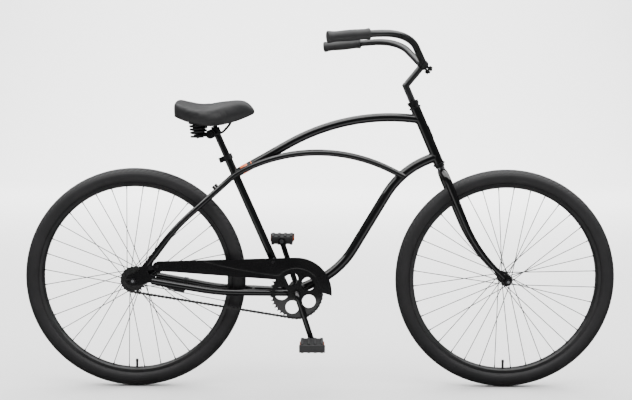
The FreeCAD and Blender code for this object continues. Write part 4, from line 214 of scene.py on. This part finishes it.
# saddle vinyl: embossed charcoal PVC over foam, soft sheen, pebbles of 2.2 mm over wider creases
saddleVinyl, tree, shader = newFinish("embossedVinyl", Roughness=0.5, IOR=1.5, Specular_IOR_Level=0.3,
                                      Sheen_Weight=0.03)
place = objectPlace(tree)
grain = addNode(tree, "ShaderNodeMath", {"operation": "MULTIPLY_ADD"}, i0=noise(tree, place, 8, 4.0),
                i1=0.5, i2=cells(tree, place, 2.2, feature="SMOOTH_F1"))
emboss(tree, shader, grain.outputs["Value"], 0.3, 0.25)
rubbed = noise(tree, place, 60, 3.0)
tint(tree, shader, rubbed, [(0.3, "#161617"), (0.7, "#1d1d1e")])
varyRoughness(tree, shader, rubbed, (0.3, 0.7), (0.55, 0.46))

# plain salmon vinyl band on the top tube
salmonVinyl, tree, shader = newFinish("salmonVinylBand", Roughness=0.35, Coat_Weight=0.4)
tint(tree, shader, noise(tree, objectPlace(tree), 12, 3.0), [(0.3, "#e2622a"), (0.7, "#f07c3e")])

# studio floor: pale matt board
floorBoard = newFinish("paleStudioBoard", Base_Color=hexColour("#d0d0d0"), Roughness=0.85)[0]

slotFinish = {
    "gloss_black_paint": enamel, "satin_black_paint": satin, "black_hardware": oxide,
    "black_spoke": spokeBlack, "steel": steel, "chain_steel": chainSteel, "badge_metal": badgeMetal,
    "tyre_rubber": tyreRubber, "tube_rubber": tubeRubber, "grip_rubber": gripRubber,
    "pedal_plastic": pedalNylon, "amber_lens": amber, "saddle_vinyl": saddleVinyl,
}
nodeFinish = {"handlebar": barPaint, "stem": barPaint}
for part in frame["record"]["subparts"]:
    for slot in nodes[part["node"]].material_slots:
        slot.material = nodeFinish.get(part["node"], slotFinish[part["material_slot"]])
print("finishes set on CAD nodes")


# making and settling pieces

def onlySelect(*pieces):
    if bpy.context.object and bpy.context.object.mode != "OBJECT":
        bpy.ops.object.mode_set(mode="OBJECT")
    bpy.ops.object.select_all(action="DESELECT")
    for piece in pieces:
        piece.select_set(True)
    bpy.context.view_layer.objects.active = pieces[0]


def startPiece(name):
    piece = bpy.context.object
    piece.name = name
    piece.data.name = name
    return piece


def joinPieces(*pieces):
    onlySelect(*pieces)
    bpy.ops.object.join()


def addBlock(name, place, size):
    # place in metres, size in millimetres
    bpy.ops.object.select_all(action="DESELECT")
    bpy.ops.mesh.primitive_cube_add(size=1, location=place)
    piece = startPiece(name)
    piece.scale = Vector(size) * mm
    bpy.ops.object.transform_apply(location=True, scale=True)
    return piece


def editChosen(piece, kind, chosen):
    # edit mode with only the chosen edges or faces selected
    onlySelect(piece)
    bpy.ops.object.mode_set(mode="EDIT")
    bpy.ops.mesh.select_mode(type=kind)
    bpy.ops.mesh.select_all(action="DESELECT")
    bpy.ops.object.mode_set(mode="OBJECT")
    for item in piece.data.edges if kind == "EDGE" else piece.data.polygons:
        item.select = chosen(item)
    bpy.ops.object.mode_set(mode="EDIT")


def bevelAll(piece, width, segments):
    onlySelect(piece)
    bpy.ops.object.mode_set(mode="EDIT")
    bpy.ops.mesh.select_all(action="SELECT")
    bpy.ops.mesh.bevel(offset=width * mm, segments=segments, affect="EDGES")
    bpy.ops.object.mode_set(mode="OBJECT")


def settlePiece(piece, body, finish, smoothAngle=40):
    onlySelect(piece)
    bpy.ops.object.transform_apply(location=True, rotation=True, scale=True)
    bpy.ops.object.shade_smooth_by_angle(angle=math.radians(smoothAngle))
    piece.data.materials.clear()
    piece.data.materials.append(finish)
    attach(piece, body)


def recalculate(piece):
    onlySelect(piece)
    bpy.ops.object.mode_set(mode="EDIT")
    bpy.ops.mesh.select_all(action="SELECT")
    bpy.ops.mesh.remove_doubles(threshold=0.01 * mm)
    bpy.ops.mesh.normals_make_consistent(inside=False)
    bpy.ops.object.mode_set(mode="OBJECT")


def aim(piece, place, direction):
    piece.location = place
    piece.rotation_euler = Vector((0, 0, 1)).rotation_difference(direction).to_euler()


def turnRings(name, rows, segments=48):
    # rows of radius and height, extruded ring by ring along Z and closed at both ends
    bpy.ops.object.select_all(action="DESELECT")
    bpy.ops.mesh.primitive_circle_add(vertices=segments, radius=rows[0][0] * mm, fill_type="NGON",
                                      location=(0, 0, rows[0][1] * mm))
    piece = startPiece(name)
    bpy.ops.object.transform_apply(location=True)
    bpy.ops.object.mode_set(mode="EDIT")
    bpy.ops.mesh.select_all(action="SELECT")
    for (radius, height), (nextRadius, nextHeight) in zip(rows, rows[1:]):
        climb = (nextHeight - height) * mm
        bpy.ops.mesh.extrude_region_move(TRANSFORM_OT_translate={"value": (0, 0, climb)})
        ratio = nextRadius / radius
        bpy.ops.transform.resize(value=(ratio, ratio, 1), center_override=(0, 0, 0))
    bpy.ops.object.mode_set(mode="OBJECT")
    recalculate(piece)
    return piece


# tyres: a balloon section turned round the axle, with slanted sipes in the tread, made once and copied

tyre = {"centreRadius": 340.5, "section": 26.0, "mouth": 319.7, "around": 1160, "sectionPoints": 64,
        "sipes": 116, "sipeShare": 0.2, "sipeSlant": 0.75, "slantRun": 20, "treadHalf": 25.0, "ribHalf": 3.0,
        "depth": 1.3, "shoulderLine": 28.5, "lineHalf": 1.3, "lineDepth": 0.5}


def sipeDepth(angle, along):
    # depth of the tread pattern at an arc length along the section from the crown
    reach = abs(along)
    if abs(reach - tyre["shoulderLine"]) < tyre["lineHalf"]:
        return tyre["lineDepth"]
    if reach > tyre["treadHalf"]:
        return 0.0
    phase = angle / (2 * math.pi) * tyre["sipes"] + tyre["sipeSlant"] * along / tyre["slantRun"]
    if reach > tyre["ribHalf"] and phase % 1.0 < tyre["sipeShare"]:
        return tyre["depth"]
    return 0.0


def makeTyre():
    bpy.ops.object.select_all(action="DESELECT")
    bpy.ops.mesh.primitive_circle_add(vertices=tyre["sectionPoints"], radius=tyre["section"] * mm,
                                      location=(0, 0, tyre["centreRadius"] * mm),
                                      rotation=(0, math.pi / 2, 0))
    piece = startPiece("frontTyre")
    bpy.ops.object.transform_apply(location=True, rotation=True)
    for vertex in piece.data.vertices:  # open side of the section sits in the rim
        vertex.co.z = max(vertex.co.z, tyre["mouth"] * mm)
    turning = piece.modifiers.new("turning", "SCREW")
    turning.axis = "Y"
    turning.steps = turning.render_steps = tyre["around"]
    turning.use_merge_vertices = True
    turning.merge_threshold = 0.01 * mm
    bpy.ops.object.modifier_apply(modifier="turning")
    recalculate(piece)
    for vertex in piece.data.vertices:
        radial = math.hypot(vertex.co.x, vertex.co.z)
        around = math.atan2(vertex.co.z, vertex.co.x) % (2 * math.pi)
        along = math.atan2(vertex.co.y / mm, radial / mm - tyre["centreRadius"]) * tyre["section"]
        depth = sipeDepth(around, along)
        if depth:
            middle = Vector((vertex.co.x, 0, vertex.co.z)) * (tyre["centreRadius"] * mm / radial)
            vertex.co += (middle - vertex.co).normalized() * (depth * mm)
    return piece


frontTyre = makeTyre()
rearTyre = frontTyre.copy()
rearTyre.data = frontTyre.data.copy()
rearTyre.name = rearTyre.data.name = "rearTyre"
bpy.context.scene.collection.objects.link(rearTyre)
for end, piece in (("front", frontTyre), ("rear", rearTyre)):
    piece.location = jointPlace[f"{end}_wheel_spin"]
    settlePiece(piece, f"{end}_wheel", tyreRubber, 30)
    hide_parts(f"{end}_tyre")

# valve caps on the two valves
valveCap = {"tipRadius": 286.3, "rows": [(3.0, -1.0), (4.6, 0.0), (4.6, 7.0), (4.0, 8.6), (2.6, 9.2)]}
for end in ("front", "rear"):
    cap = turnRings(f"{end}ValveCap", valveCap["rows"], 24)
    axle = jointPlace[f"{end}_wheel_spin"]
    aim(cap, axle - Vector((0, 0, valveCap["tipRadius"] * mm)), Vector((0, 0, 1)))
    settlePiece(cap, f"{end}_wheel", tubeRubber)
print("tyres and valve caps done")

# grips: moulded sleeves with a belled outer end and a palm swell

grip = {"rows": [(11.4, -128.0), (16.6, -128.0), (17.6, -126.5), (17.6, -124.0), (16.8, -121.0),
                 (16.2, -116.0), (16.0, -108.0), (16.4, -96.0), (17.0, -82.0), (17.2, -68.0),
                 (16.9, -52.0), (16.2, -36.0), (15.8, -26.0), (16.0, -18.0), (16.8, -10.0),
                 (18.3, -4.0), (18.5, 0.0), (18.4, 2.6), (17.0, 4.0), (13.0, 4.2)],
        "palm": (-112, -16), "palmFlat": 0.95, "sweep": (-136, 33, -12.8), "end": (-316, 322, 72)}
tilt = jointPlace["handlebar_tilt"]
palmLow, palmHigh = (height * mm for height in grip["palm"])
sweepX, sweepY, sweepZ = grip["sweep"]  # from the grip's front to its end
endX, endY, endZ = grip["end"]
for side, sign in (("right", -1), ("left", 1)):
    sleeve = turnRings(f"{side}Grip", grip["rows"])
    for vertex in sleeve.data.vertices:  # slightly flat where the palm rests
        if palmLow < vertex.co.z < palmHigh:
            vertex.co.y *= grip["palmFlat"]
    back = Vector((sweepX, sign * sweepY, sweepZ)).normalized()
    end = Vector((tilt.x + endX * mm, sign * endY * mm, tilt.z + endZ * mm))
    aim(sleeve, end, back)
    settlePiece(sleeve, "handlebar", gripRubber)
    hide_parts(f"grip_{side}")
print("grips done")

# pedals: a moulded block with recessed faces, tread studs above and below and an outer end plate

pedal = {"length": 74.0, "width": 99.0, "core": 25.0, "corner": 9, "lip": 6, "recess": 2.2, "step": 1.5,
         "edge": 1.2, "tread": (9.0, 7.0, 4.0), "studEdge": 0.8, "margin": (2, 16), "sink": 1.2, "rows": 4,
         "across": 7, "cheek": (83.4, 7.0, 1.2), "cheekEdge": 1.5}  # margin and sink count both ends together


def makePedal(side):
    low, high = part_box(f"pedal_{side}")
    middle = (Vector(low) + Vector(high)) / 2
    block = addBlock(f"{side}Pedal", middle, (pedal["length"], pedal["width"], pedal["core"]))

    def upright(edge):
        one, two = (block.data.vertices[index].co for index in edge.vertices)
        return abs(one.z - two.z) > 1 * mm

    editChosen(block, "EDGE", upright)  # upright corner edges are rounded most
    bpy.ops.mesh.bevel(offset=pedal["corner"] * mm, segments=4, affect="EDGES")
    editChosen(block, "FACE", lambda face: abs(face.normal.z) > 0.9)  # top and bottom
    bpy.ops.mesh.inset(thickness=pedal["lip"] * mm, depth=-pedal["recess"] * mm, use_individual=True)
    bpy.ops.mesh.inset(thickness=pedal["step"] * mm, depth=0, use_individual=True)
    bpy.ops.object.mode_set(mode="OBJECT")
    rims = block.modifiers.new("edges", "BEVEL")
    rims.width = pedal["edge"] * mm
    rims.segments = 2
    rims.limit_method = "ANGLE"
    onlySelect(block)
    bpy.ops.object.modifier_apply(modifier="edges")
    long, wide, tall = pedal["tread"]
    marginX, marginY = pedal["margin"]
    corner = Vector((long - pedal["length"] + marginX, wide - pedal["width"] + marginY,
                     pedal["core"] + tall - pedal["sink"])) / 2
    studs = addBlock("studs", middle + corner * mm, pedal["tread"])
    bevelAll(studs, pedal["studEdge"], 1)
    steps = ((pedal["rows"], 0, -2 * corner.x), (pedal["across"], 1, -2 * corner.y), (2, 2, -2 * corner.z))
    for count, axis, reach in steps:
        rows = studs.modifiers.new("rows", "ARRAY")
        rows.use_relative_offset = False
        rows.use_constant_offset = True
        rows.count = count
        stride = reach / (count - 1) * mm
        rows.constant_offset_displace = [stride if index == axis else 0 for index in range(3)]
        bpy.ops.object.modifier_apply(modifier="rows")
    cheekLength, cheekWidth, proud = pedal["cheek"]  # outer end plate, it stands before the reflectors' ends
    outward = 1 if side == "left" else -1
    cheekPlace = outward * ((pedal["width"] - cheekWidth) / 2 + proud)
    cheek = addBlock("cheek", middle + Vector((0, cheekPlace * mm, 0)),
                     (cheekLength, cheekWidth, pedal["core"]))
    bevelAll(cheek, pedal["cheekEdge"], 3)
    joinPieces(block, studs, cheek)
    recalculate(block)
    settlePiece(block, f"pedal_{side}", pedalNylon, 30)
    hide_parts(f"pedal_{side}")


for side in ("right", "left"):
    makePedal(side)
print("pedals done")

# saddle springs: cone-shaped coils wound with the screw modifier, with upright ends

spring = {"wire": 3.8, "wireSides": 12, "footRadius": 18.5, "headRadius": 24.5, "turns": 4, "steps": 40,
          "back": 41.0, "spacing": 47.0, "foot": -4.0, "top": 45.6}


def makeSpring(side, sign):
    bolt = jointPlace["saddle_tilt"]
    low = spring["foot"] + spring["wire"]
    rise = spring["top"] - spring["wire"] - low
    bpy.ops.object.select_all(action="DESELECT")
    bpy.ops.mesh.primitive_circle_add(vertices=spring["wireSides"], radius=spring["wire"] * mm,
                                      location=(spring["footRadius"] * mm, 0, 0),
                                      rotation=(math.pi / 2, 0, 0))
    coil = startPiece(f"{side}SaddleSpring")
    bpy.ops.object.transform_apply(location=True, rotation=True)
    winding = coil.modifiers.new("winding", "SCREW")
    winding.angle = 2 * math.pi * spring["turns"]
    winding.screw_offset = rise * mm
    winding.steps = winding.render_steps = spring["steps"] * spring["turns"]
    winding.use_merge_vertices = False
    bpy.ops.object.modifier_apply(modifier="winding")
    for vertex in coil.data.vertices:
        share = min(1, max(0, vertex.co.z / (rise * mm)))
        radial = Vector((vertex.co.x, vertex.co.y, 0))
        vertex.co += radial.normalized() * ((spring["headRadius"] - spring["footRadius"]) * share * mm)
    ends = []
    for start, radius in ((-spring["wire"], spring["footRadius"]), (rise, spring["headRadius"])):
        stubRows = [(spring["wire"], start), (spring["wire"], start + spring["wire"])]
        stub = turnRings("stub", stubRows, spring["wireSides"])
        stub.location = (radius * mm, 0, 0)
        onlySelect(stub)
        bpy.ops.object.transform_apply(location=True)
        ends.append(stub)
    joinPieces(coil, *ends)
    coil.location = bolt + Vector((-spring["back"], sign * spring["spacing"], low)) * mm
    settlePiece(coil, "saddle", oxide, 60)
    return coil


springs = [makeSpring("right", -1), makeSpring("left", 1)]
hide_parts("saddle_springs")
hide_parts("saddle_springs")
print("saddle springs done")

# saddle: foam under embossed vinyl, swollen by cloth pressure from the CAD form, its top padded after

saddle = {"voxel": 4.5, "shrink": 2.5, "held": -0.5, "pressure": 3.0, "mass": 0.2, "frames": 16, "cap": 5.0,
          "relax": (4, 3), "topShare": 0.55,
          "lift": [(0.0, 4.0), (0.05, 3.4), (0.14, 0.0), (0.29, -4.6), (0.37, -4.0), (0.45, -1.0),
                   (0.54, 0.5), (0.63, 2.3), (0.72, 3.2), (0.87, 3.2), (0.93, 1.0),
                   (1.0, 0.0)]}  # share of the length and rise of the padding there


def copyNode(name, pieceName):
    mesh = nodes[name].data.copy()
    piece = bpy.data.objects.new(pieceName, mesh)
    bpy.context.scene.collection.objects.link(piece)
    mesh.name = pieceName
    piece.data.materials.clear()
    recalculate(piece)
    return piece


def padTop(cover):
    # fuller padding under the sit bones and the nose, with a dip between them
    low, high = (Vector(corner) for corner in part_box("saddle_cover"))
    base = low.z + (high.z - low.z) * saddle["topShare"]
    for vertex in cover.data.vertices:
        along = min(1, max(0, (vertex.co.x - low.x) / (high.x - low.x)))
        for (start, rise), (stop, nextRise) in zip(saddle["lift"], saddle["lift"][1:]):
            if start <= along <= stop:
                lift = rise + (nextRise - rise) * (along - start) / (stop - start)
        vertex.co.z += lift * mm * min(1, max(0, (vertex.co.z - base) / (high.z - base)))


def relax(piece, times):
    smoothing = piece.modifiers.new("relax", "SMOOTH")
    smoothing.iterations = times
    smoothing.factor = 0.5
    bpy.ops.object.modifier_apply(modifier="relax")


def makeSaddle():
    cover = copyNode("saddle_cover", "saddleCover")
    onlySelect(cover)
    remesh = cover.modifiers.new("remesh", "REMESH")
    remesh.mode = "VOXEL"
    remesh.voxel_size = saddle["voxel"] * mm
    bpy.ops.object.modifier_apply(modifier="remesh")
    relax(cover, saddle["relax"][0])
    start = [vertex.co.copy() for vertex in cover.data.vertices]
    held = cover.vertex_groups.new(name="held")
    under = [vertex.index for vertex in cover.data.vertices if vertex.normal.z < saddle["held"]]
    held.add(under, 1.0, "REPLACE")
    for vertex, place in zip(cover.data.vertices, start):
        shrink = saddle["shrink"] * mm if vertex.normal.z > saddle["held"] else 0
        vertex.co = place - vertex.normal * shrink
    cloth = cover.modifiers.new("stuffing", "CLOTH")
    cloth.settings.use_pressure = True
    cloth.settings.uniform_pressure_force = saddle["pressure"]
    cloth.settings.vertex_group_mass = "held"
    cloth.settings.effector_weights.gravity = 0
    cloth.settings.mass = saddle["mass"]
    cloth.point_cache.frame_start = 1
    cloth.point_cache.frame_end = saddle["frames"]
    for step in range(1, saddle["frames"] + 1):
        bpy.context.scene.frame_set(step)
    onlySelect(cover)
    bpy.ops.object.modifier_apply(modifier="stuffing")
    bpy.context.scene.frame_set(1)
    moved = 0.0
    for vertex, place in zip(cover.data.vertices, start):
        shift = vertex.co - place
        if shift.length > saddle["cap"] * mm:
            vertex.co = place + shift.normalized() * (saddle["cap"] * mm)
        moved = max(moved, (vertex.co - place).length)
    print("saddle swelled by up to", round(moved / mm, 2), "mm")
    cover.vertex_groups.clear()
    padTop(cover)
    relax(cover, saddle["relax"][1])
    fine = cover.modifiers.new("fine", "SUBSURF")
    fine.levels = fine.render_levels = 1
    bpy.ops.object.modifier_apply(modifier="fine")
    settlePiece(cover, "saddle", saddleVinyl, 80)
    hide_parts("saddle_cover")


makeSaddle()
print("saddle done")

# salmon band on the top tube just ahead of the seat tube, with a thin stripe beyond it

band = {"bands": {"topTubeBand": (26.0, 25.0), "topTubeStripe": (64.0, 3.0)}, "radius": 14.42, "edge": 0.15,
        "place": (-285.4, 713.7), "angle": 29.6}


def heading(degrees):
    return Vector((math.cos(math.radians(degrees)), 0, math.sin(math.radians(degrees))))


for name, (start, length) in band["bands"].items():
    outer = band["radius"] + band["edge"]
    rows = [(band["radius"], start), (outer, start + 2 * band["edge"]),
            (outer, start + length - 2 * band["edge"]), (band["radius"], start + length)]
    sleeve = turnRings(name, rows, 64)
    aim(sleeve, Vector((band["place"][0], 0, band["place"][1])) * mm, heading(band["angle"]))
    settlePiece(sleeve, "frame", salmonVinyl)
print("top tube bands done")

# weld beads round the tube joints, and the pressed lines of the chain guard

def beadAlong(name, points, radius, closed=False):
    curve = bpy.data.curves.new(name, "CURVE")
    curve.dimensions = "3D"
    curve.bevel_depth = radius * mm
    curve.bevel_resolution = 3
    curve.use_fill_caps = True
    line = curve.splines.new("POLY")
    line.points.add(len(points) - 1)
    line.use_cyclic_u = closed
    for spot, place in zip(line.points, points):
        spot.co = (*place, 1)
    piece = bpy.data.objects.new(name, curve)
    bpy.context.scene.collection.objects.link(piece)
    onlySelect(piece)
    bpy.ops.object.convert(target="MESH")
    piece = startPiece(name)
    recalculate(piece)
    return piece


def weldLine(place, direction, radius, otherPlace, otherDirection, otherRadius, steps=64):
    # closed line where a round tube leaves another round tube
    side = direction.orthogonal().normalized()
    over = direction.cross(side)
    run = direction - otherDirection * direction.dot(otherDirection)
    points = []
    for step in range(steps):
        turn = 2 * math.pi * step / steps
        start = place + (side * math.cos(turn) + over * math.sin(turn)) * (radius * mm)
        gap = start - otherPlace
        gap -= otherDirection * gap.dot(otherDirection)
        half = gap.dot(run) / run.dot(run)
        inside = half * half - (gap.dot(gap) - (otherRadius * mm) ** 2) / run.dot(run)
        points.append(start + direction * (math.sqrt(max(inside, 0)) - half))
    return points


weld = {"bead": 1.7, "headRadius": 16.5, "topRadius": 14.3, "downRadius": 16.0, "shellRadius": 29.0,
        "topStation": 163, "downStation": 29.7, "topAngle": 172.9, "downAngle": 202.5, "footAngle": 24.9}
steerFoot = jointPlace["steering"]
steerUp = jointAxis["steering"]
bracket = jointPlace["crank_spin"]
across = Vector((0, 1, 0))
topStart = steerFoot + steerUp * (weld["topStation"] * mm)
downStart = steerFoot + steerUp * (weld["downStation"] * mm)
welds = {
    "topTubeWeld": weldLine(topStart, heading(weld["topAngle"]), weld["topRadius"],
                            steerFoot, steerUp, weld["headRadius"]),
    "downTubeWeld": weldLine(downStart, heading(weld["downAngle"]), weld["downRadius"],
                             steerFoot, steerUp, weld["headRadius"]),
    "bracketWeld": weldLine(bracket, heading(weld["footAngle"]), weld["downRadius"],
                            bracket, across, weld["shellRadius"]),
}
for name, points in welds.items():
    settlePiece(beadAlong(name, points, weld["bead"], True), "frame", enamel, 60)

guard = {"face": -55.6, "bead": 1.1, "creaseShare": 0.7, "border": 83.0, "borderFrom": 12, "borderTo": 136,
         "borderSteps": 60,
         "crease": [(-383.6, 428.5), (-330.0, 415.5), (-275.2, 403.3), (-205.0, 391.0), (-139.8, 382.2)]}
face = guard["face"] * mm
creasePoints = [Vector((x * mm, face, z * mm)) for x, z in guard["crease"]]
creaseBead = guard["bead"] * guard["creaseShare"]
settlePiece(beadAlong("guardCrease", creasePoints, creaseBead), "frame", enamel, 60)
borderCentre = Vector((bracket.x, face, bracket.z))
borderSpan = guard["borderTo"] - guard["borderFrom"]
borderPoints = []
for step in range(guard["borderSteps"] + 1):
    turn = guard["borderFrom"] + borderSpan * step / guard["borderSteps"]
    borderPoints.append(borderCentre + heading(turn) * (guard["border"] * mm))
settlePiece(beadAlong("guardBorder", borderPoints, guard["bead"]), "frame", enamel, 60)
print("welds and guard lines done")

# studio: pale floor that curves up far behind, two soft panels overhead, a card on the floor in front
# and a wash on the backdrop

studio = {"half": 12.0, "front": -9.0, "back": 10.5, "drop": 0.2, "height": 7.0, "curve": 2.5,
          "curveSteps": 16, "touch": 0.01, "world": 0.12}
bpy.ops.object.select_all(action="DESELECT")
bpy.ops.mesh.primitive_plane_add(size=1, location=(0, (studio["front"] + studio["back"]) / 2,
                                                   -studio["drop"] * mm))
floor = startPiece("studioFloor")
floor.scale = (2 * studio["half"], studio["back"] - studio["front"], 1)
bpy.ops.object.transform_apply(location=True, scale=True)


def rearFoot(edge):
    ends = [floor.data.vertices[index].co for index in edge.vertices]
    return all(end.y > studio["back"] - studio["touch"] and end.z < studio["touch"] for end in ends)


editChosen(floor, "EDGE", rearFoot)
bpy.ops.mesh.extrude_region_move(TRANSFORM_OT_translate={"value": (0, 0, studio["height"])})
editChosen(floor, "EDGE", rearFoot)
bpy.ops.mesh.bevel(offset=studio["curve"], segments=studio["curveSteps"], affect="EDGES")
bpy.ops.object.mode_set(mode="OBJECT")
bpy.ops.object.shade_smooth()
floor.data.materials.append(floorBoard)
floor.visible_glossy = False  # the gloss mirrors the lights and the dark room, not the floor

world = bpy.data.worlds.new("studioWorld")
bpy.context.scene.world = world
world.use_nodes = True
background = world.node_tree.nodes["Background"]
background.inputs["Color"].default_value = hexColour("#ffffff")
background.inputs["Strength"].default_value = studio["world"]

lights = {
    "ceilingPanel": {"place": (0.0, -0.4, 3.0), "size": (8.0, 3.8), "power": 538, "look": (0, -0.399, 0),
                     "mirrored": True},
    "rearPanel": {"place": (0.0, 4.5, 3.0), "size": (12.0, 6.0), "power": 1270, "look": (0, 4.501, 0),
                  "mirrored": False},
    "frontCard": {"place": (0.0, -0.95, 0.02), "size": (6.0, 1.0), "power": 30, "look": (0, -0.9, 2),
                  "mirrored": True},
    "backdropWash": {"place": (0.0, 6.7, 4.5), "size": (12.0, 1.5), "power": 2000, "look": (0, 10.5, 0.6),
                     "mirrored": False},
}
for name, light in lights.items():
    lamp = bpy.data.lights.new(name, "AREA")
    lamp.shape = "RECTANGLE"
    lamp.size, lamp.size_y = light["size"]
    lamp.energy = light["power"]
    holder = bpy.data.objects.new(name, lamp)
    holder.location = light["place"]
    facing = Vector(light["look"]) - Vector(light["place"])
    holder.rotation_euler = facing.to_track_quat("-Z", "Y").to_euler()
    holder.visible_camera = False
    holder.visible_glossy = light["mirrored"]
    bpy.context.scene.collection.objects.link(holder)
print("studio done")
